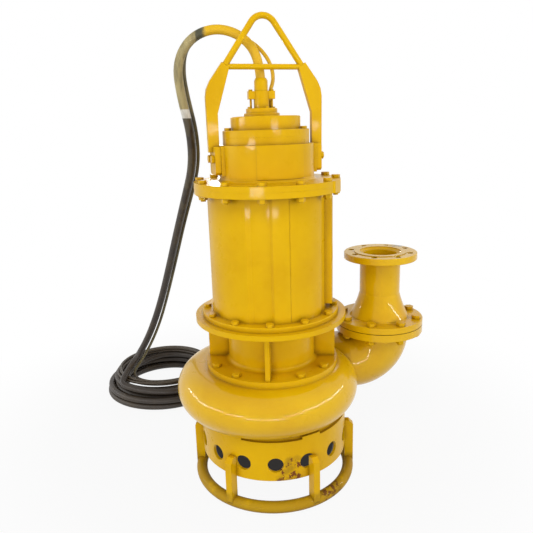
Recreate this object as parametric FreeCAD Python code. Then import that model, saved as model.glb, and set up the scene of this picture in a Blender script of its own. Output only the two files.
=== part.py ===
import FreeCAD, Part
import math
import os
from FreeCAD import Vector

# Submersible slurry pump with a bottom strainer, an agitator and a side discharge elbow.
# Millimetres, +Z up. The origin is on the shaft axis, in the plane that the base ring stands on.
# Azimuths are degrees from +X about +Z. The front of the pump faces -Y.

# ---- general clearances
SEAT = 0.3                 # gap between two curved faces that only locate each other
RUN = 0.5                  # radial gap round turning parts
FIT = 0.05                 # radial gap of a located bore on its shaft
HOLE_PLAY = 1.0            # radial play of a bolt in its hole

# ---- base ring, legs and strainer skirt
SKIRT_R = 208.0
SKIRT_WALL = 8.0
SKIRT_BOTTOM = 87.0
SKIRT_NOTCH_TOP = 199.0
SKIRT_TAB_TOP = 206.5
RING_TUBE_R = 15.5
RING_R = SKIRT_R + 9.5
LEG_COUNT = 6
LEG_TURN = -2.0
LEG_WIDTH = 19.0
LEG_TOP = 147.0
LEG_CHAMFER = 12.0
SKIRT_TAB_ANGLE = 15.0
STRAINER_HOLES = 15
STRAINER_HOLE_R = 21.0
STRAINER_HOLE_Z = 133.0
STRAINER_HOLE_TURN = -89.5

# ---- volute casing
VOLUTE_Z = 273.0           # height of the middle of the volute passage
VOLUTE_CENTRE_R = 192.0
VOLUTE_SECTION_R = 66.0
VOLUTE_SHIFT = Vector(-15.0, 6.0, 0)    # the passage widens round to the outlet
VOLUTE_WALL = 12.0
VOLUTE_TOP = 342.0
VOLUTE_TOP_BORE_R = 160.0
VOLUTE_FOOT = 190.0
VOLUTE_FOOT_BORE_R = 165.0
NOZZLE_Y = 175.0
NOZZLE_Z = 262.0
NOZZLE_END_X = 240.0
NOZZLE_START_X = -20.0
NOZZLE_START_R = 48.0
PIPE_R = 90.0              # outside radius of the nozzle end and the elbow
PIPE_WALL = 11.0

# ---- discharge elbow and reducer
OUTLET_X = 340.5
BEND_R = 92.0
ELBOW_TOP = 385.0
ELBOW_FLANGE_R = 133.0
ELBOW_FLANGE_T = 22.0
ELBOW_PCD = 228.0
ELBOW_BOLTS = 8
ELBOW_BOLT_TURN = -67.5
ELBOW_BOLT_R = 8.0
GASKET_T = 2.0
REDUCER_FLANGE_T = 18.0
CONE_FOOT_R = 89.0
CONE_TOP = 482.0
NECK_R = 61.0
OUTLET_BORE_R = 50.0
OUTLET_FLANGE_R = 110.0
OUTLET_FLANGE_T = 20.0
OUTLET_FACE_R = 79.0
OUTLET_FACE_H = 2.0
OUTLET_MOUTH_R = 62.0      # opening in the flange, in which the pipe end is welded
OUTLET_MOUTH_DEPTH = 8.0
OUTLET_TOP = 611.0
OUTLET_PCD = 180.0
OUTLET_HOLES = 8
OUTLET_HOLE_TURN = 22.5
OUTLET_HOLE_R = 9.0

# ---- suction cover, impeller, back plate and agitator
COVER_PLATE_T = 12.0
COVER_PLATE_R = SKIRT_R - SKIRT_WALL - 3.0
COVER_SCREWS = 8
COVER_SCREW_PCD = 2 * (COVER_PLATE_R - 15.0)
COVER_SCREW_R = 6.0
COVER_SCREW_BITE = 10.0
THROAT_R = 60.0
THROAT_MOUTH_R = 76.0
SPIGOT_TOP = 218.0
IMPELLER_R = 150.0
IMPELLER_FOOT = 222.0
SHROUD_T = 8.0
VANE_H = 62.0
VANE_T = 10.0
VANE_COUNT = 4
EYE_R = 56.0
NECK_RING_WALL = 7.0
HUB_R = 36.0
HUB_TOP = 318.0
EXPELLER_RIBS = 6
EXPELLER_RIB_H = 7.0
BACK_PLATE_T = 18.0
AGITATOR_HUB_R = 27.0
AGITATOR_FOOT = 112.0
AGITATOR_R = 78.0
AGITATOR_BLADES = 3
AGITATOR_BLADE_H = 40.0
AGITATOR_BLADE_T = 10.0

# ---- bearing bracket between pump and motor
BRACKET_FOOT_R = 185.0
BRACKET_FOOT_T = 14.0
BRACKET_HUB_R = 121.0
BRACKET_WALL = 12.0
BRACKET_TOP = 491.0
BRACKET_HEAD_T = 14.0
RIB_COUNT = 4
RIB_TURN = -4.0
RIB_T = 12.5
RIB_R = 178.0
BRACKET_BOLT_PCD = 336.0
BRACKET_BOLT_FROM_RIB = (30.0, 60.0)
BRACKET_BOLT_R = 7.0
BRACKET_BOLT_BITE = 11.0   # depth of a bolt in the casing below
PLUG_R = 11.0
PLUG_AZIMUTHS = (-70.0, 110.0)
PLUG_Z = 462.0
PLUG_L = 18.0
PLUG_HOLE_L = 30.0

# ---- motor housing
MOTOR_R = 154.0
MOTOR_PAD_H = 6.0
MOTOR_WALL = 12.0
MOTOR_PADS = ((-176.0, -110.5, 6.0), (-86.5, -71.5, 3.0), (-70.5, -33.0, 4.0), (40.0, 62.0, 3.0),
              (63.0, 110.5, 3.0), (124.0, 158.0, 4.0))    # from, to, and the angle of the slope at each end
SIDE_PAD = (-15.7, 24.0)   # higher pad on the outlet side
SIDE_PAD_R = MOTOR_R + 19.0
SIDE_PAD_FOOT = 14.0       # above the foot flange
SIDE_PAD_HEAD = 18.0       # below the head flange
MOTOR_FOOT_R = MOTOR_R + 34.0
MOTOR_FOOT_T = 13.0
BRACKET_HEAD_R = MOTOR_FOOT_R + 20.0
MOTOR_TOP = 838.0
MOTOR_HEAD_R = MOTOR_R + 39.0
MOTOR_HEAD_T = 15.0
MOTOR_BOLTS = 12
MOTOR_BOLT_TURN = -91.0
MOTOR_BOLT_PCD = 2 * (MOTOR_R + 22.0)
MOTOR_BOLT_R = 6.0
STATOR_BORE_R = 92.0
WINDING_OVERHANG = 36.0
STATOR_FOOT = BRACKET_TOP + WINDING_OVERHANG + 48.0
STATOR_TOP = MOTOR_TOP - WINDING_OVERHANG - 27.0
STATOR_SLOTS = 24
SLOT_DEPTH = 24.0
SLOT_W = 9.0
AIR_GAP = 0.8
END_RING_H = 10.0

# ---- upper bearing housing
BARREL_R = 124.0
BARREL_WALL = 12.0
BARREL_TOP = 944.0
HEAD_PLATE_T = 15.0
HEAD_BOLTS = 12
HEAD_BOLT_TURN = -94.0
HEAD_BOLT_PCD = 2 * (MOTOR_R + 26.5)
HEAD_BOLT_R = 6.5
EAR_TURN = -25.0
EAR_R = MOTOR_HEAD_R + 3.0
EAR_HALF_W = 26.0
EAR_BEVEL = 5.0
BARREL_LAND_R = 90.0       # bore of the thick rim at the top of the barrel
BARREL_LAND_H = 16.0
SEAT_PLATE_FROM = -101.0   # bare raised seat on the front of the barrel
SEAT_PLATE_TO = -42.0
SEAT_PLATE_H = 1.5

# ---- shaft and bearings
SHAFT_SEAL_R = 26.0
SHAFT_IMPELLER_R = 20.0
SHAFT_STUD_R = 14.0
SHAFT_CORE_R = 36.0
SHAFT_TOP = 896.0
LOWER_BEARING = (30.0, 65.0, 31.0, 11.0, 451.0)    # bore R, outer R, width, ball R, foot height
UPPER_BEARING = (25.0, 55.0, 27.0, 9.5, 850.0)
BALLS = 8
BALL_PLAY = 0.3
CAGE_RIM = 2.5
SEAL_R = 38.0
BELLOWS_FOLDS = 4
BELLOWS_PITCH = 7.0
BELLOWS_DEPTH = 4.5
BELLOWS_WALL = 1.6
KEY_W = 8.0
KEY_DEPTH = 5.0

# ---- cover, terminal box and cable gland
COVER_R = 112.0
COVER_RING_T = 18.0
COVER_T = 18.0
BOX_R = 90.0
BOX_TOP = 1013.0
BOX_WALL = 9.0
BOARD_LEDGE = 12.0
BOARD_T = 8.0
BOARD_STUDS = 6
COVER_BOLT_AZIMUTHS = (-162.0, -18.0, 18.0, 162.0)
COVER_BOLT_AT_R = 101.0
COVER_BOLT_R = 5.0
COVER_BOLT_BITE = 12.0
CLAMP_TURN = 12.0
GLAND_X = -9.0
GLAND_Y = 24.0
GLAND_HOLE_R = 26.0
GLAND_FLANGE_R = 47.0
GLAND_FLANGE_T = 9.0
GLAND_BASE_R = 41.0
GLAND_BASE_T = 12.0
GLAND_BOLTS = 4
GLAND_BOLT_R = 3.0
GLAND_BOLT_PCD = 68.0
GLAND_BOLT_TURN = 25.0
GLAND_BODY_R = 20.0
GLAND_CAP_R = 17.5
GLAND_TOP = 1109.0
CLAMP_FOOT = 1057.0
CLAMP_T = 20.0
CLAMP_SPAN = 35.0
CABLE_R = 12.0
TAIL_TOP = 1085.0          # top of the stretch of cable that the gland grips
TAIL_FOOT = 1000.0
CONTROL_X = GLAND_X + 20.0
CONTROL_Y = GLAND_Y + 23.7
CONTROL_R = 5.0
CONTROL_CORE_R = 3.5
CONTROL_NUT_FLATS = 17.0
CONTROL_NUT_H = 11.0
CONTROL_TOP = 1054.0

# ---- lifting bail
BAIL_TURN = 17.0
BAIL_OUT = 154.0
BAIL_IN = 125.5
BAIL_T = 14.0
BAIL_FOOT = 928.0
KNEE_Z = 1062.0
KNEE_BEVEL = 38.0
ROD_R = 8.0
APEX_Z = 1254.0
APEX_BEND_R = 36.0
CROSS_R = 7.0
CROSS_Z = 1134.0
PAD_W = 64.0
PAD_FOOT = 872.0
PAD_TOP = 942.0
PAD_T = 15.0
BOSS_H = 4.0
BAIL_BOLT_R = 6.0
BAIL_BOLT_SPREAD = 19.0
BAIL_BOLT_Z = 911.0
BAIL_BOLT_BITE = 14.0
ROD_FOOT = (100.0, 1138.0)
TIP_HALF_W = 11.0
INNER_KNEE_Z = 1022.0

# ---- cable coil and cable routes
COIL_X = -425.0
COIL_Y = 545.0
COIL_R = 185.0
COIL_W = 90.0
COIL_H = 80.0
POWER_ROUTE = (
    (GLAND_X, GLAND_Y, TAIL_TOP), (GLAND_X, GLAND_Y, 1154), (-50, 27, 1212), (-118, 31, 1235),
    (-186, 37, 1214), (-227, 47, 1153), (-222, 62, 1070), (-205, 86, 975), (-211, 124, 885),
    (-243, 180, 800), (-292, 262, 670), (-341, 340, 533), (-385, 402, 412), (-431, 452, 301),
    (-474, 482, 214), (-513, 488, 152), (-545, 458, 111), (-560, 402, 94), (-545, 348, 79))
CONTROL_ROUTE = (
    (CONTROL_X, CONTROL_Y, 1034), (CONTROL_X, CONTROL_Y, 1070), (26, 48, 1108), (16, 49, 1152),
    (-14, 50, 1190), (-58, 51, 1216), (-112, 54, 1230), (-166, 58, 1222), (-204, 64, 1188),
    (-214, 72, 1132), (-206, 80, 1068), (-190, 101, 976), (-195, 139, 886), (-227, 196, 800),
    (-264, 254, 706), (-300, 314, 604), (-336, 370, 502), (-370, 418, 408), (-404, 456, 318),
    (-440, 484, 238), (-476, 498, 172), (-506, 492, 126), (-527, 460, 101), (-529, 418, 87))

# ---- heights that follow from the sizes above
BRACKET_FOOT = VOLUTE_TOP
MOTOR_FOOT = BRACKET_TOP
HEAD_PLATE_TOP = MOTOR_TOP + HEAD_PLATE_T
COVER_RING_TOP = BARREL_TOP + COVER_RING_T
COVER_TOP = COVER_RING_TOP + COVER_T
GLAND_BASE_TOP = BOX_TOP + GLAND_FLANGE_T + GLAND_BASE_T
IMPELLER_BACK = IMPELLER_FOOT + 2 * SHROUD_T + VANE_H
IMPELLER_SEAT = IMPELLER_BACK - SHROUD_T - 20
KEY_FOOT = IMPELLER_BACK - 14
KEY_TOP = HUB_TOP - 5
SEAL_FLOOR = BRACKET_FOOT + 12
PAD_FACE_R = BARREL_R + BOSS_H + PAD_T
ELBOW_FLANGE_FOOT = ELBOW_TOP - ELBOW_FLANGE_T
REDUCER_FOOT = ELBOW_TOP + GASKET_T


def polar(radius, azimuth, z=0.0):
    a = math.radians(azimuth)
    return Vector(radius * math.cos(a), radius * math.sin(a), z)


def cylinder(radius, z0, z1, x=0.0, y=0.0):
    return Part.makeCylinder(radius, z1 - z0, Vector(x, y, z0))


def tube(outer, inner, z0, z1, x=0.0, y=0.0):
    return cylinder(outer, z0, z1, x, y).cut(cylinder(inner, z0, z1, x, y))


def outline(start, *steps):
    """Closed wire in the XZ plane. A step is an (r, z) point, or a (middle, end) pair for an arc."""
    edges = []
    here = Vector(start[0], 0, start[1])
    for step in steps + (start,):
        if isinstance(step[0], tuple):
            middle = Vector(step[0][0], 0, step[0][1])
            there = Vector(step[1][0], 0, step[1][1])
            edges.append(Part.Arc(here, middle, there).toShape())
        else:
            there = Vector(step[0], 0, step[1])
            if there.distanceToPoint(here) < 1e-6:
                continue
            edges.append(Part.LineSegment(here, there).toShape())
        here = there
    return Part.Wire(edges)


def turned(start, *steps, x=0.0, y=0.0, angle=360.0):
    """Solid of revolution about the vertical through (x, y)."""
    face = Part.Face(outline(start, *steps))
    solid = face.revolve(Vector(0, 0, 0), Vector(0, 0, 1), angle)
    solid.translate(Vector(x, y, 0))
    return solid


def spun(shape, azimuth, centre=Vector(0, 0, 0)):
    copy = shape.copy()
    copy.rotate(centre, Vector(0, 0, 1), azimuth)
    return copy


def ring_of(shape, count, first=0.0, centre=Vector(0, 0, 0)):
    return [spun(shape, first + 360.0 * k / count, centre) for k in range(count)]


def box(x0, y0, z0, x1, y1, z1):
    return Part.makeBox(x1 - x0, y1 - y0, z1 - z0, Vector(x0, y0, z0))


def hexagon(across_flats, height, foot, direction=Vector(0, 0, 1)):
    corner = across_flats / math.sqrt(3.0)
    points = [Vector(corner * math.cos(math.radians(60 * k)), corner * math.sin(math.radians(60 * k)), 0)
              for k in range(7)]
    prism = Part.Face(Part.makePolygon(points)).extrude(Vector(0, 0, height))
    prism.Placement = FreeCAD.Placement(foot, FreeCAD.Rotation(Vector(0, 0, 1), direction))
    return prism


def bolt(shank_r, grip, seat, direction=Vector(0, 0, 1), nut=True):
    """Hex bolt whose head sits on the seat point and points along direction, with a nut past the grip."""
    flats = 3.0 * shank_r
    back = direction * -1.0
    tail = shank_r * (2.2 if nut else 0.0)
    shank = Part.makeCylinder(shank_r, grip + tail, seat, back)
    solid = hexagon(flats, 1.35 * shank_r, seat, direction).fuse(shank)
    if not nut:
        return [solid.removeSplitter()]
    nut_foot = seat + back * (grip + 1.6 * shank_r)
    nut_solid = hexagon(flats, 1.6 * shank_r, nut_foot, direction)
    nut_solid = nut_solid.cut(Part.makeCylinder(shank_r + FIT, 4 * shank_r, seat + back * grip
                                                 + direction * shank_r, back))
    return [solid.removeSplitter(), nut_solid]


def drilled(shape, radius, pcd, count, first, z0, z1, x=0.0, y=0.0):
    for k in range(count):
        at = polar(pcd / 2, first + 360.0 * k / count)
        shape = shape.cut(cylinder(radius, z0, z1, x + at.x, y + at.y))
    return shape


def save(name, shapes):
    if not isinstance(shapes, list):
        shapes = [shapes]
    solids = []
    for shape in shapes:
        solids.extend(shape.Solids)
    whole = solids[0] if len(solids) == 1 else Part.makeCompound(solids)
    whole.exportStep("parts/" + name + ".step")


# ---------------------------------------------------------------- base and strainer
def base_ring():
    return Part.makeTorus(RING_R, RING_TUBE_R, Vector(0, 0, RING_TUBE_R))


def base_legs():
    outer = RING_R + RING_TUBE_R
    inner = SKIRT_R + SEAT
    half = LEG_WIDTH / 2
    profile = Part.Wire(Part.makePolygon([
        Vector(inner, -half, RING_TUBE_R), Vector(outer, -half, RING_TUBE_R),
        Vector(outer, -half, LEG_TOP - LEG_CHAMFER), Vector(outer - LEG_CHAMFER, -half, LEG_TOP),
        Vector(inner, -half, LEG_TOP), Vector(inner, -half, RING_TUBE_R)]).Edges)
    leg = Part.Face(profile).extrude(Vector(0, LEG_WIDTH, 0))
    leg = leg.cut(cylinder(inner, RING_TUBE_R - 1, LEG_TOP + 1))
    leg = leg.cut(Part.makeTorus(RING_R, RING_TUBE_R + FIT, Vector(0, 0, RING_TUBE_R)))
    leg = max(leg.Solids, key=lambda solid: solid.Volume)
    return ring_of(leg, LEG_COUNT, LEG_TURN)


def strainer_skirt():
    skirt = tube(SKIRT_R, SKIRT_R - SKIRT_WALL, SKIRT_BOTTOM, SKIRT_TAB_TOP)
    gap = 360.0 / LEG_COUNT - SKIRT_TAB_ANGLE
    notch = turned((SKIRT_R - 2 * SKIRT_WALL, SKIRT_NOTCH_TOP), (SKIRT_R + 5, SKIRT_NOTCH_TOP),
                   (SKIRT_R + 5, SKIRT_TAB_TOP + 1), (SKIRT_R - 2 * SKIRT_WALL, SKIRT_TAB_TOP + 1),
                   angle=gap)
    for cutter in ring_of(notch, LEG_COUNT, LEG_TURN + SKIRT_TAB_ANGLE / 2):
        skirt = skirt.cut(cutter)
    hole = Part.makeCylinder(STRAINER_HOLE_R, 3 * SKIRT_WALL,
                             Vector(SKIRT_R - 2 * SKIRT_WALL, 0, STRAINER_HOLE_Z), Vector(1, 0, 0))
    for cutter in ring_of(hole, STRAINER_HOLES, STRAINER_HOLE_TURN):
        skirt = skirt.cut(cutter)
    return skirt.cut(nozzle_cone(SEAT))


# ---------------------------------------------------------------- wet end
def nozzle_cone(gap):
    """Tangential outlet of the casing, or its inside where the gap is negative."""
    foot = Vector(NOZZLE_START_X, NOZZLE_Y, NOZZLE_Z)
    return Part.makeCone(NOZZLE_START_R + gap, PIPE_R + gap, NOZZLE_END_X - NOZZLE_START_X, foot,
                         Vector(1, 0, 0))


def volute_round(section_r):
    """Round passage of the casing, set off from the shaft so that it widens round to the outlet."""
    whole = turned((0, VOLUTE_Z - section_r), (VOLUTE_CENTRE_R, VOLUTE_Z - section_r),
                   ((VOLUTE_CENTRE_R + section_r, VOLUTE_Z), (VOLUTE_CENTRE_R, VOLUTE_Z + section_r)),
                   (0, VOLUTE_Z + section_r))
    whole.translate(VOLUTE_SHIFT)
    return whole


def volute_casing():
    collar_r = SKIRT_R - SKIRT_WALL - SEAT
    outside = volute_round(VOLUTE_SECTION_R).fuse([cylinder(collar_r, VOLUTE_FOOT, VOLUTE_Z),
                                                   cylinder(BRACKET_FOOT_R, VOLUTE_Z, VOLUTE_TOP),
                                                   nozzle_cone(0.0)])
    casing = outside.cut(volute_round(VOLUTE_SECTION_R - VOLUTE_WALL)).cut(nozzle_cone(-PIPE_WALL))
    casing = casing.cut(cylinder(VOLUTE_TOP_BORE_R, VOLUTE_Z, VOLUTE_TOP + 1))
    casing = casing.cut(cylinder(VOLUTE_FOOT_BORE_R, VOLUTE_FOOT - 1, VOLUTE_Z))
    for offset in BRACKET_BOLT_FROM_RIB:
        casing = drilled(casing, BRACKET_BOLT_R + FIT, BRACKET_BOLT_PCD, RIB_COUNT, RIB_TURN + offset,
                         VOLUTE_TOP - BRACKET_BOLT_BITE - 1, VOLUTE_TOP + 1)
    casing = drilled(casing, COVER_SCREW_R + FIT, COVER_SCREW_PCD, COVER_SCREWS, 0, VOLUTE_FOOT - 1,
                     VOLUTE_FOOT + COVER_SCREW_BITE + 1)
    return casing.removeSplitter()


def suction_cover():
    foot = VOLUTE_FOOT - COVER_PLATE_T
    spigot_r = VOLUTE_FOOT_BORE_R - SEAT
    neck_r = EYE_R + NECK_RING_WALL + RUN
    cover = turned((THROAT_MOUTH_R, foot), (COVER_PLATE_R, foot), (COVER_PLATE_R, VOLUTE_FOOT),
                   (spigot_r, VOLUTE_FOOT), (spigot_r, SPIGOT_TOP), (neck_r, SPIGOT_TOP),
                   (neck_r, SPIGOT_TOP - 12), (THROAT_R, SPIGOT_TOP - 12),
                   ((THROAT_R + 4, foot + 10), (THROAT_MOUTH_R, foot)))
    return drilled(cover, COVER_SCREW_R + HOLE_PLAY, COVER_SCREW_PCD, COVER_SCREWS, 0, foot - 1,
                   VOLUTE_FOOT + 1)


def suction_cover_bolts():
    foot = VOLUTE_FOOT - COVER_PLATE_T
    parts = []
    for k in range(COVER_SCREWS):
        seat = polar(COVER_SCREW_PCD / 2, 360.0 * k / COVER_SCREWS, foot)
        parts.extend(bolt(COVER_SCREW_R, COVER_PLATE_T + COVER_SCREW_BITE, seat, Vector(0, 0, -1),
                          nut=False))
    return parts


def impeller():
    neck_r = EYE_R + NECK_RING_WALL
    front = turned((EYE_R, SPIGOT_TOP - 10), (neck_r, SPIGOT_TOP - 10), (neck_r, IMPELLER_FOOT),
                   (IMPELLER_R, IMPELLER_FOOT), (IMPELLER_R, IMPELLER_FOOT + SHROUD_T),
                   (EYE_R + 4, IMPELLER_FOOT + SHROUD_T), (EYE_R, IMPELLER_FOOT + SHROUD_T - 4))
    back_foot = IMPELLER_BACK - SHROUD_T
    back = turned((0, IMPELLER_SEAT), (AGITATOR_HUB_R, IMPELLER_SEAT),
                  ((HUB_R, back_foot - 8), (HUB_R + 24, back_foot)), (IMPELLER_R, back_foot),
                  (IMPELLER_R, IMPELLER_BACK), (HUB_R, IMPELLER_BACK), (HUB_R, HUB_TOP), (0, HUB_TOP))
    body = front.fuse(back)
    root = 42.0
    sweep = 78.0
    reach = IMPELLER_R - 1.0
    middle = (root + reach) / 2
    lag = math.degrees(VANE_T / reach)
    outer = Part.Arc(polar(root, 0), polar(middle, sweep * 0.62), polar(reach, sweep)).toShape()
    inner = Part.Arc(polar(reach, sweep + lag), polar(middle, sweep * 0.62 + 9.0),
                     polar(root, 16.0)).toShape()
    ends = [Part.LineSegment(polar(reach, sweep), polar(reach, sweep + lag)).toShape(),
            Part.LineSegment(polar(root, 16.0), polar(root, 0)).toShape()]
    vane = Part.Face(Part.Wire([outer, ends[0], inner, ends[1]]))
    vane.translate(Vector(0, 0, IMPELLER_FOOT + SHROUD_T - 1))
    vane = vane.extrude(Vector(0, 0, VANE_H + 2))
    for copy in ring_of(vane, VANE_COUNT):
        body = body.fuse(copy)
    rib = box(HUB_R + 10, -4, IMPELLER_BACK - 1, IMPELLER_R - 4, 4, IMPELLER_BACK + EXPELLER_RIB_H)
    for copy in ring_of(rib, EXPELLER_RIBS):
        body = body.fuse(copy)
    body = body.cut(cylinder(SHAFT_IMPELLER_R + FIT, IMPELLER_SEAT - 1, HUB_TOP + 1))
    return body.cut(keyway()).removeSplitter()


def back_wear_plate():
    top = VOLUTE_TOP
    foot = top - BACK_PLATE_T
    return tube(VOLUTE_TOP_BORE_R - SEAT, HUB_R + 2, foot, top)


def agitator():
    top = IMPELLER_SEAT
    hub = turned((0, AGITATOR_FOOT), (AGITATOR_HUB_R - 8, AGITATOR_FOOT),
                 (AGITATOR_HUB_R, AGITATOR_FOOT + 8), (AGITATOR_HUB_R, top), (0, top))
    foot = AGITATOR_FOOT + 6
    blade = box(AGITATOR_HUB_R - 4, -AGITATOR_BLADE_T / 2, foot, AGITATOR_R, AGITATOR_BLADE_T / 2,
                foot + AGITATOR_BLADE_H)
    blade.rotate(Vector(0, 0, foot + AGITATOR_BLADE_H / 2), Vector(1, 0, 0), 24)
    for copy in ring_of(blade, AGITATOR_BLADES, 20):
        hub = hub.fuse(copy)
    return hub.cut(cylinder(SHAFT_STUD_R + FIT, AGITATOR_FOOT + 24, top + 1)).removeSplitter()


# ---------------------------------------------------------------- shaft and what turns with it
def shaft():
    low = LOWER_BEARING
    high = UPPER_BEARING
    body = turned((0, AGITATOR_FOOT + 26), (SHAFT_STUD_R - 2, AGITATOR_FOOT + 26),
                  (SHAFT_STUD_R, AGITATOR_FOOT + 28), (SHAFT_STUD_R, IMPELLER_SEAT),
                  (SHAFT_IMPELLER_R, IMPELLER_SEAT), (SHAFT_IMPELLER_R, HUB_TOP), (SHAFT_SEAL_R, HUB_TOP),
                  (SHAFT_SEAL_R, low[4] - 8), (low[0], low[4] - 8), (low[0], low[4] + low[2]),
                  (SHAFT_CORE_R, low[4] + low[2]), (SHAFT_CORE_R, STATOR_TOP + 20),
                  (high[0] + 4, STATOR_TOP + 20),
                  (high[0] + 4, high[4]), (high[0], high[4]), (high[0], SHAFT_TOP - 2),
                  (high[0] - 2, SHAFT_TOP), (0, SHAFT_TOP))
    return body.cut(keyway())


def keyway(gap=0.0):
    """Space of the key, or the key itself where a gap is given."""
    half = KEY_W / 2 - gap
    return box(SHAFT_IMPELLER_R - KEY_DEPTH + gap, -half, KEY_FOOT + gap,
               SHAFT_IMPELLER_R + KEY_DEPTH - 1 - gap, half, KEY_TOP - gap)


def rotor_core():
    rotor_r = STATOR_BORE_R - AIR_GAP
    core = tube(rotor_r, SHAFT_CORE_R + FIT, STATOR_FOOT, STATOR_TOP)
    rings = [tube(rotor_r - 4, SHAFT_CORE_R + 14, z, z + END_RING_H)
             for z in (STATOR_FOOT - END_RING_H, STATOR_TOP)]
    return core.fuse(rings).removeSplitter()


def bearing(size):
    """Deep groove ball bearing: inner ring, outer ring, balls and cage."""
    bore, outer, width, ball_r, foot = size
    pitch = (bore + outer) / 2
    middle = foot + width / 2
    groove = Part.makeTorus(pitch, ball_r + BALL_PLAY, Vector(0, 0, middle))
    inner_ring = tube(pitch - 0.45 * ball_r, bore + FIT, foot, foot + width).cut(groove)
    outer_ring = tube(outer, pitch + 0.45 * ball_r, foot, foot + width).cut(groove)
    ball = Part.makeSphere(ball_r, Vector(pitch, 0, middle))
    balls = ring_of(ball, BALLS)
    cage_half = ball_r + CAGE_RIM
    cage = tube(pitch + 0.24 * ball_r, pitch - 0.24 * ball_r, middle - cage_half, middle + cage_half)
    pocket = Part.makeCylinder(ball_r + FIT, ball_r, Vector(pitch - ball_r / 2, 0, middle), Vector(1, 0, 0))
    for cutter in ring_of(pocket, BALLS):
        cage = cage.cut(cutter)
    return inner_ring, outer_ring, balls, cage


# ---------------------------------------------------------------- seal and bracket
def bearing_bracket():
    foot_top = BRACKET_FOOT + BRACKET_FOOT_T
    head = BRACKET_TOP - BRACKET_HEAD_T
    bore, outer, width, ball_r, bearing_foot = LOWER_BEARING
    inner_r = BRACKET_HUB_R - BRACKET_WALL
    body = turned((SEAL_R + 14, BRACKET_FOOT), (BRACKET_FOOT_R, BRACKET_FOOT), (BRACKET_FOOT_R, foot_top),
                  (BRACKET_HUB_R + 10, foot_top),
                  ((BRACKET_HUB_R + 3, foot_top + 3), (BRACKET_HUB_R, foot_top + 10)),
                  (BRACKET_HUB_R, head), (BRACKET_HEAD_R, head), (BRACKET_HEAD_R, BRACKET_TOP),
                  (outer + FIT, BRACKET_TOP), (outer + FIT, bearing_foot), (SEAL_R + 10, bearing_foot),
                  (SEAL_R + 10, bearing_foot - 14), (inner_r, bearing_foot - 14),
                  (inner_r, SEAL_FLOOR), (SEAL_R + 14, SEAL_FLOOR))
    rib = box(BRACKET_HUB_R - 4, -RIB_T / 2, foot_top - 1, RIB_R, RIB_T / 2, head + 1)
    for copy in ring_of(rib, RIB_COUNT, RIB_TURN):
        body = body.fuse(copy)
    for offset in BRACKET_BOLT_FROM_RIB:
        body = drilled(body, BRACKET_BOLT_R + HOLE_PLAY, BRACKET_BOLT_PCD, RIB_COUNT, RIB_TURN + offset,
                       BRACKET_FOOT - 1, foot_top + 1)
    body = drilled(body, MOTOR_BOLT_R + FIT, MOTOR_BOLT_PCD, MOTOR_BOLTS, MOTOR_BOLT_TURN,
                   head - 1, BRACKET_TOP + 1)
    for azimuth in PLUG_AZIMUTHS:
        body = body.fuse(plug_boss(azimuth)).cut(plug_hole(azimuth))
    return body.removeSplitter()


def plug_boss(azimuth):
    boss = Part.makeCylinder(PLUG_R + 5, 13, Vector(BRACKET_HUB_R - 3, 0, PLUG_Z), Vector(1, 0, 0))
    return spun(boss, azimuth)


def plug_hole(azimuth):
    hole = Part.makeCylinder(PLUG_R - 3 + FIT, PLUG_HOLE_L, Vector(BRACKET_HUB_R - PLUG_L, 0, PLUG_Z),
                             Vector(1, 0, 0))
    return spun(hole, azimuth)


def oil_plugs():
    plugs = []
    for azimuth in PLUG_AZIMUTHS:
        face = polar(BRACKET_HUB_R + 10, azimuth, PLUG_Z)
        plugs.extend(bolt(PLUG_R - 3, PLUG_L, face, polar(1, azimuth), nut=False))
    return plugs


def seal_parts():
    """Mechanical seal: fixed seat, turning face ring, metal bellows and collar."""
    seat = tube(SEAL_R, SHAFT_SEAL_R + 3, SEAL_FLOOR + 2, SEAL_FLOOR + 14)
    face = tube(SEAL_R - 3, SHAFT_SEAL_R + FIT, SEAL_FLOOR + 14 + 0.1, SEAL_FLOOR + 26)
    bellows_foot = SEAL_FLOOR + 26 + 0.1
    bellows_top = bellows_foot + BELLOWS_FOLDS * BELLOWS_PITCH
    root = SHAFT_SEAL_R + 2.0
    outside = [(root + BELLOWS_WALL, bellows_foot)]
    inside = [(root, bellows_foot)]
    for k in range(BELLOWS_FOLDS):
        crest = bellows_foot + (k + 0.5) * BELLOWS_PITCH
        trough = crest + BELLOWS_PITCH / 2
        outside += [(root + BELLOWS_DEPTH + BELLOWS_WALL, crest), (root + BELLOWS_WALL, trough)]
        inside += [(root + BELLOWS_DEPTH, crest), (root, trough)]
    bellows = turned(*(outside + inside[::-1]))
    collar = tube(SEAL_R - 3, SHAFT_SEAL_R + FIT, bellows_top + 0.1, bellows_top + 10)
    return seat, face, bellows, collar


def seal_cover():
    return turned((SHAFT_SEAL_R + 3, BRACKET_FOOT), (SEAL_R + 14 - SEAT, BRACKET_FOOT),
                  (SEAL_R + 14 - SEAT, SEAL_FLOOR), (SEAL_R + 22, SEAL_FLOOR),
                  (SEAL_R + 22, SEAL_FLOOR + 8), (SEAL_R + FIT, SEAL_FLOOR + 8),
                  (SEAL_R + FIT, SEAL_FLOOR + 2), (SHAFT_SEAL_R + 3, SEAL_FLOOR + 2))


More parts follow.
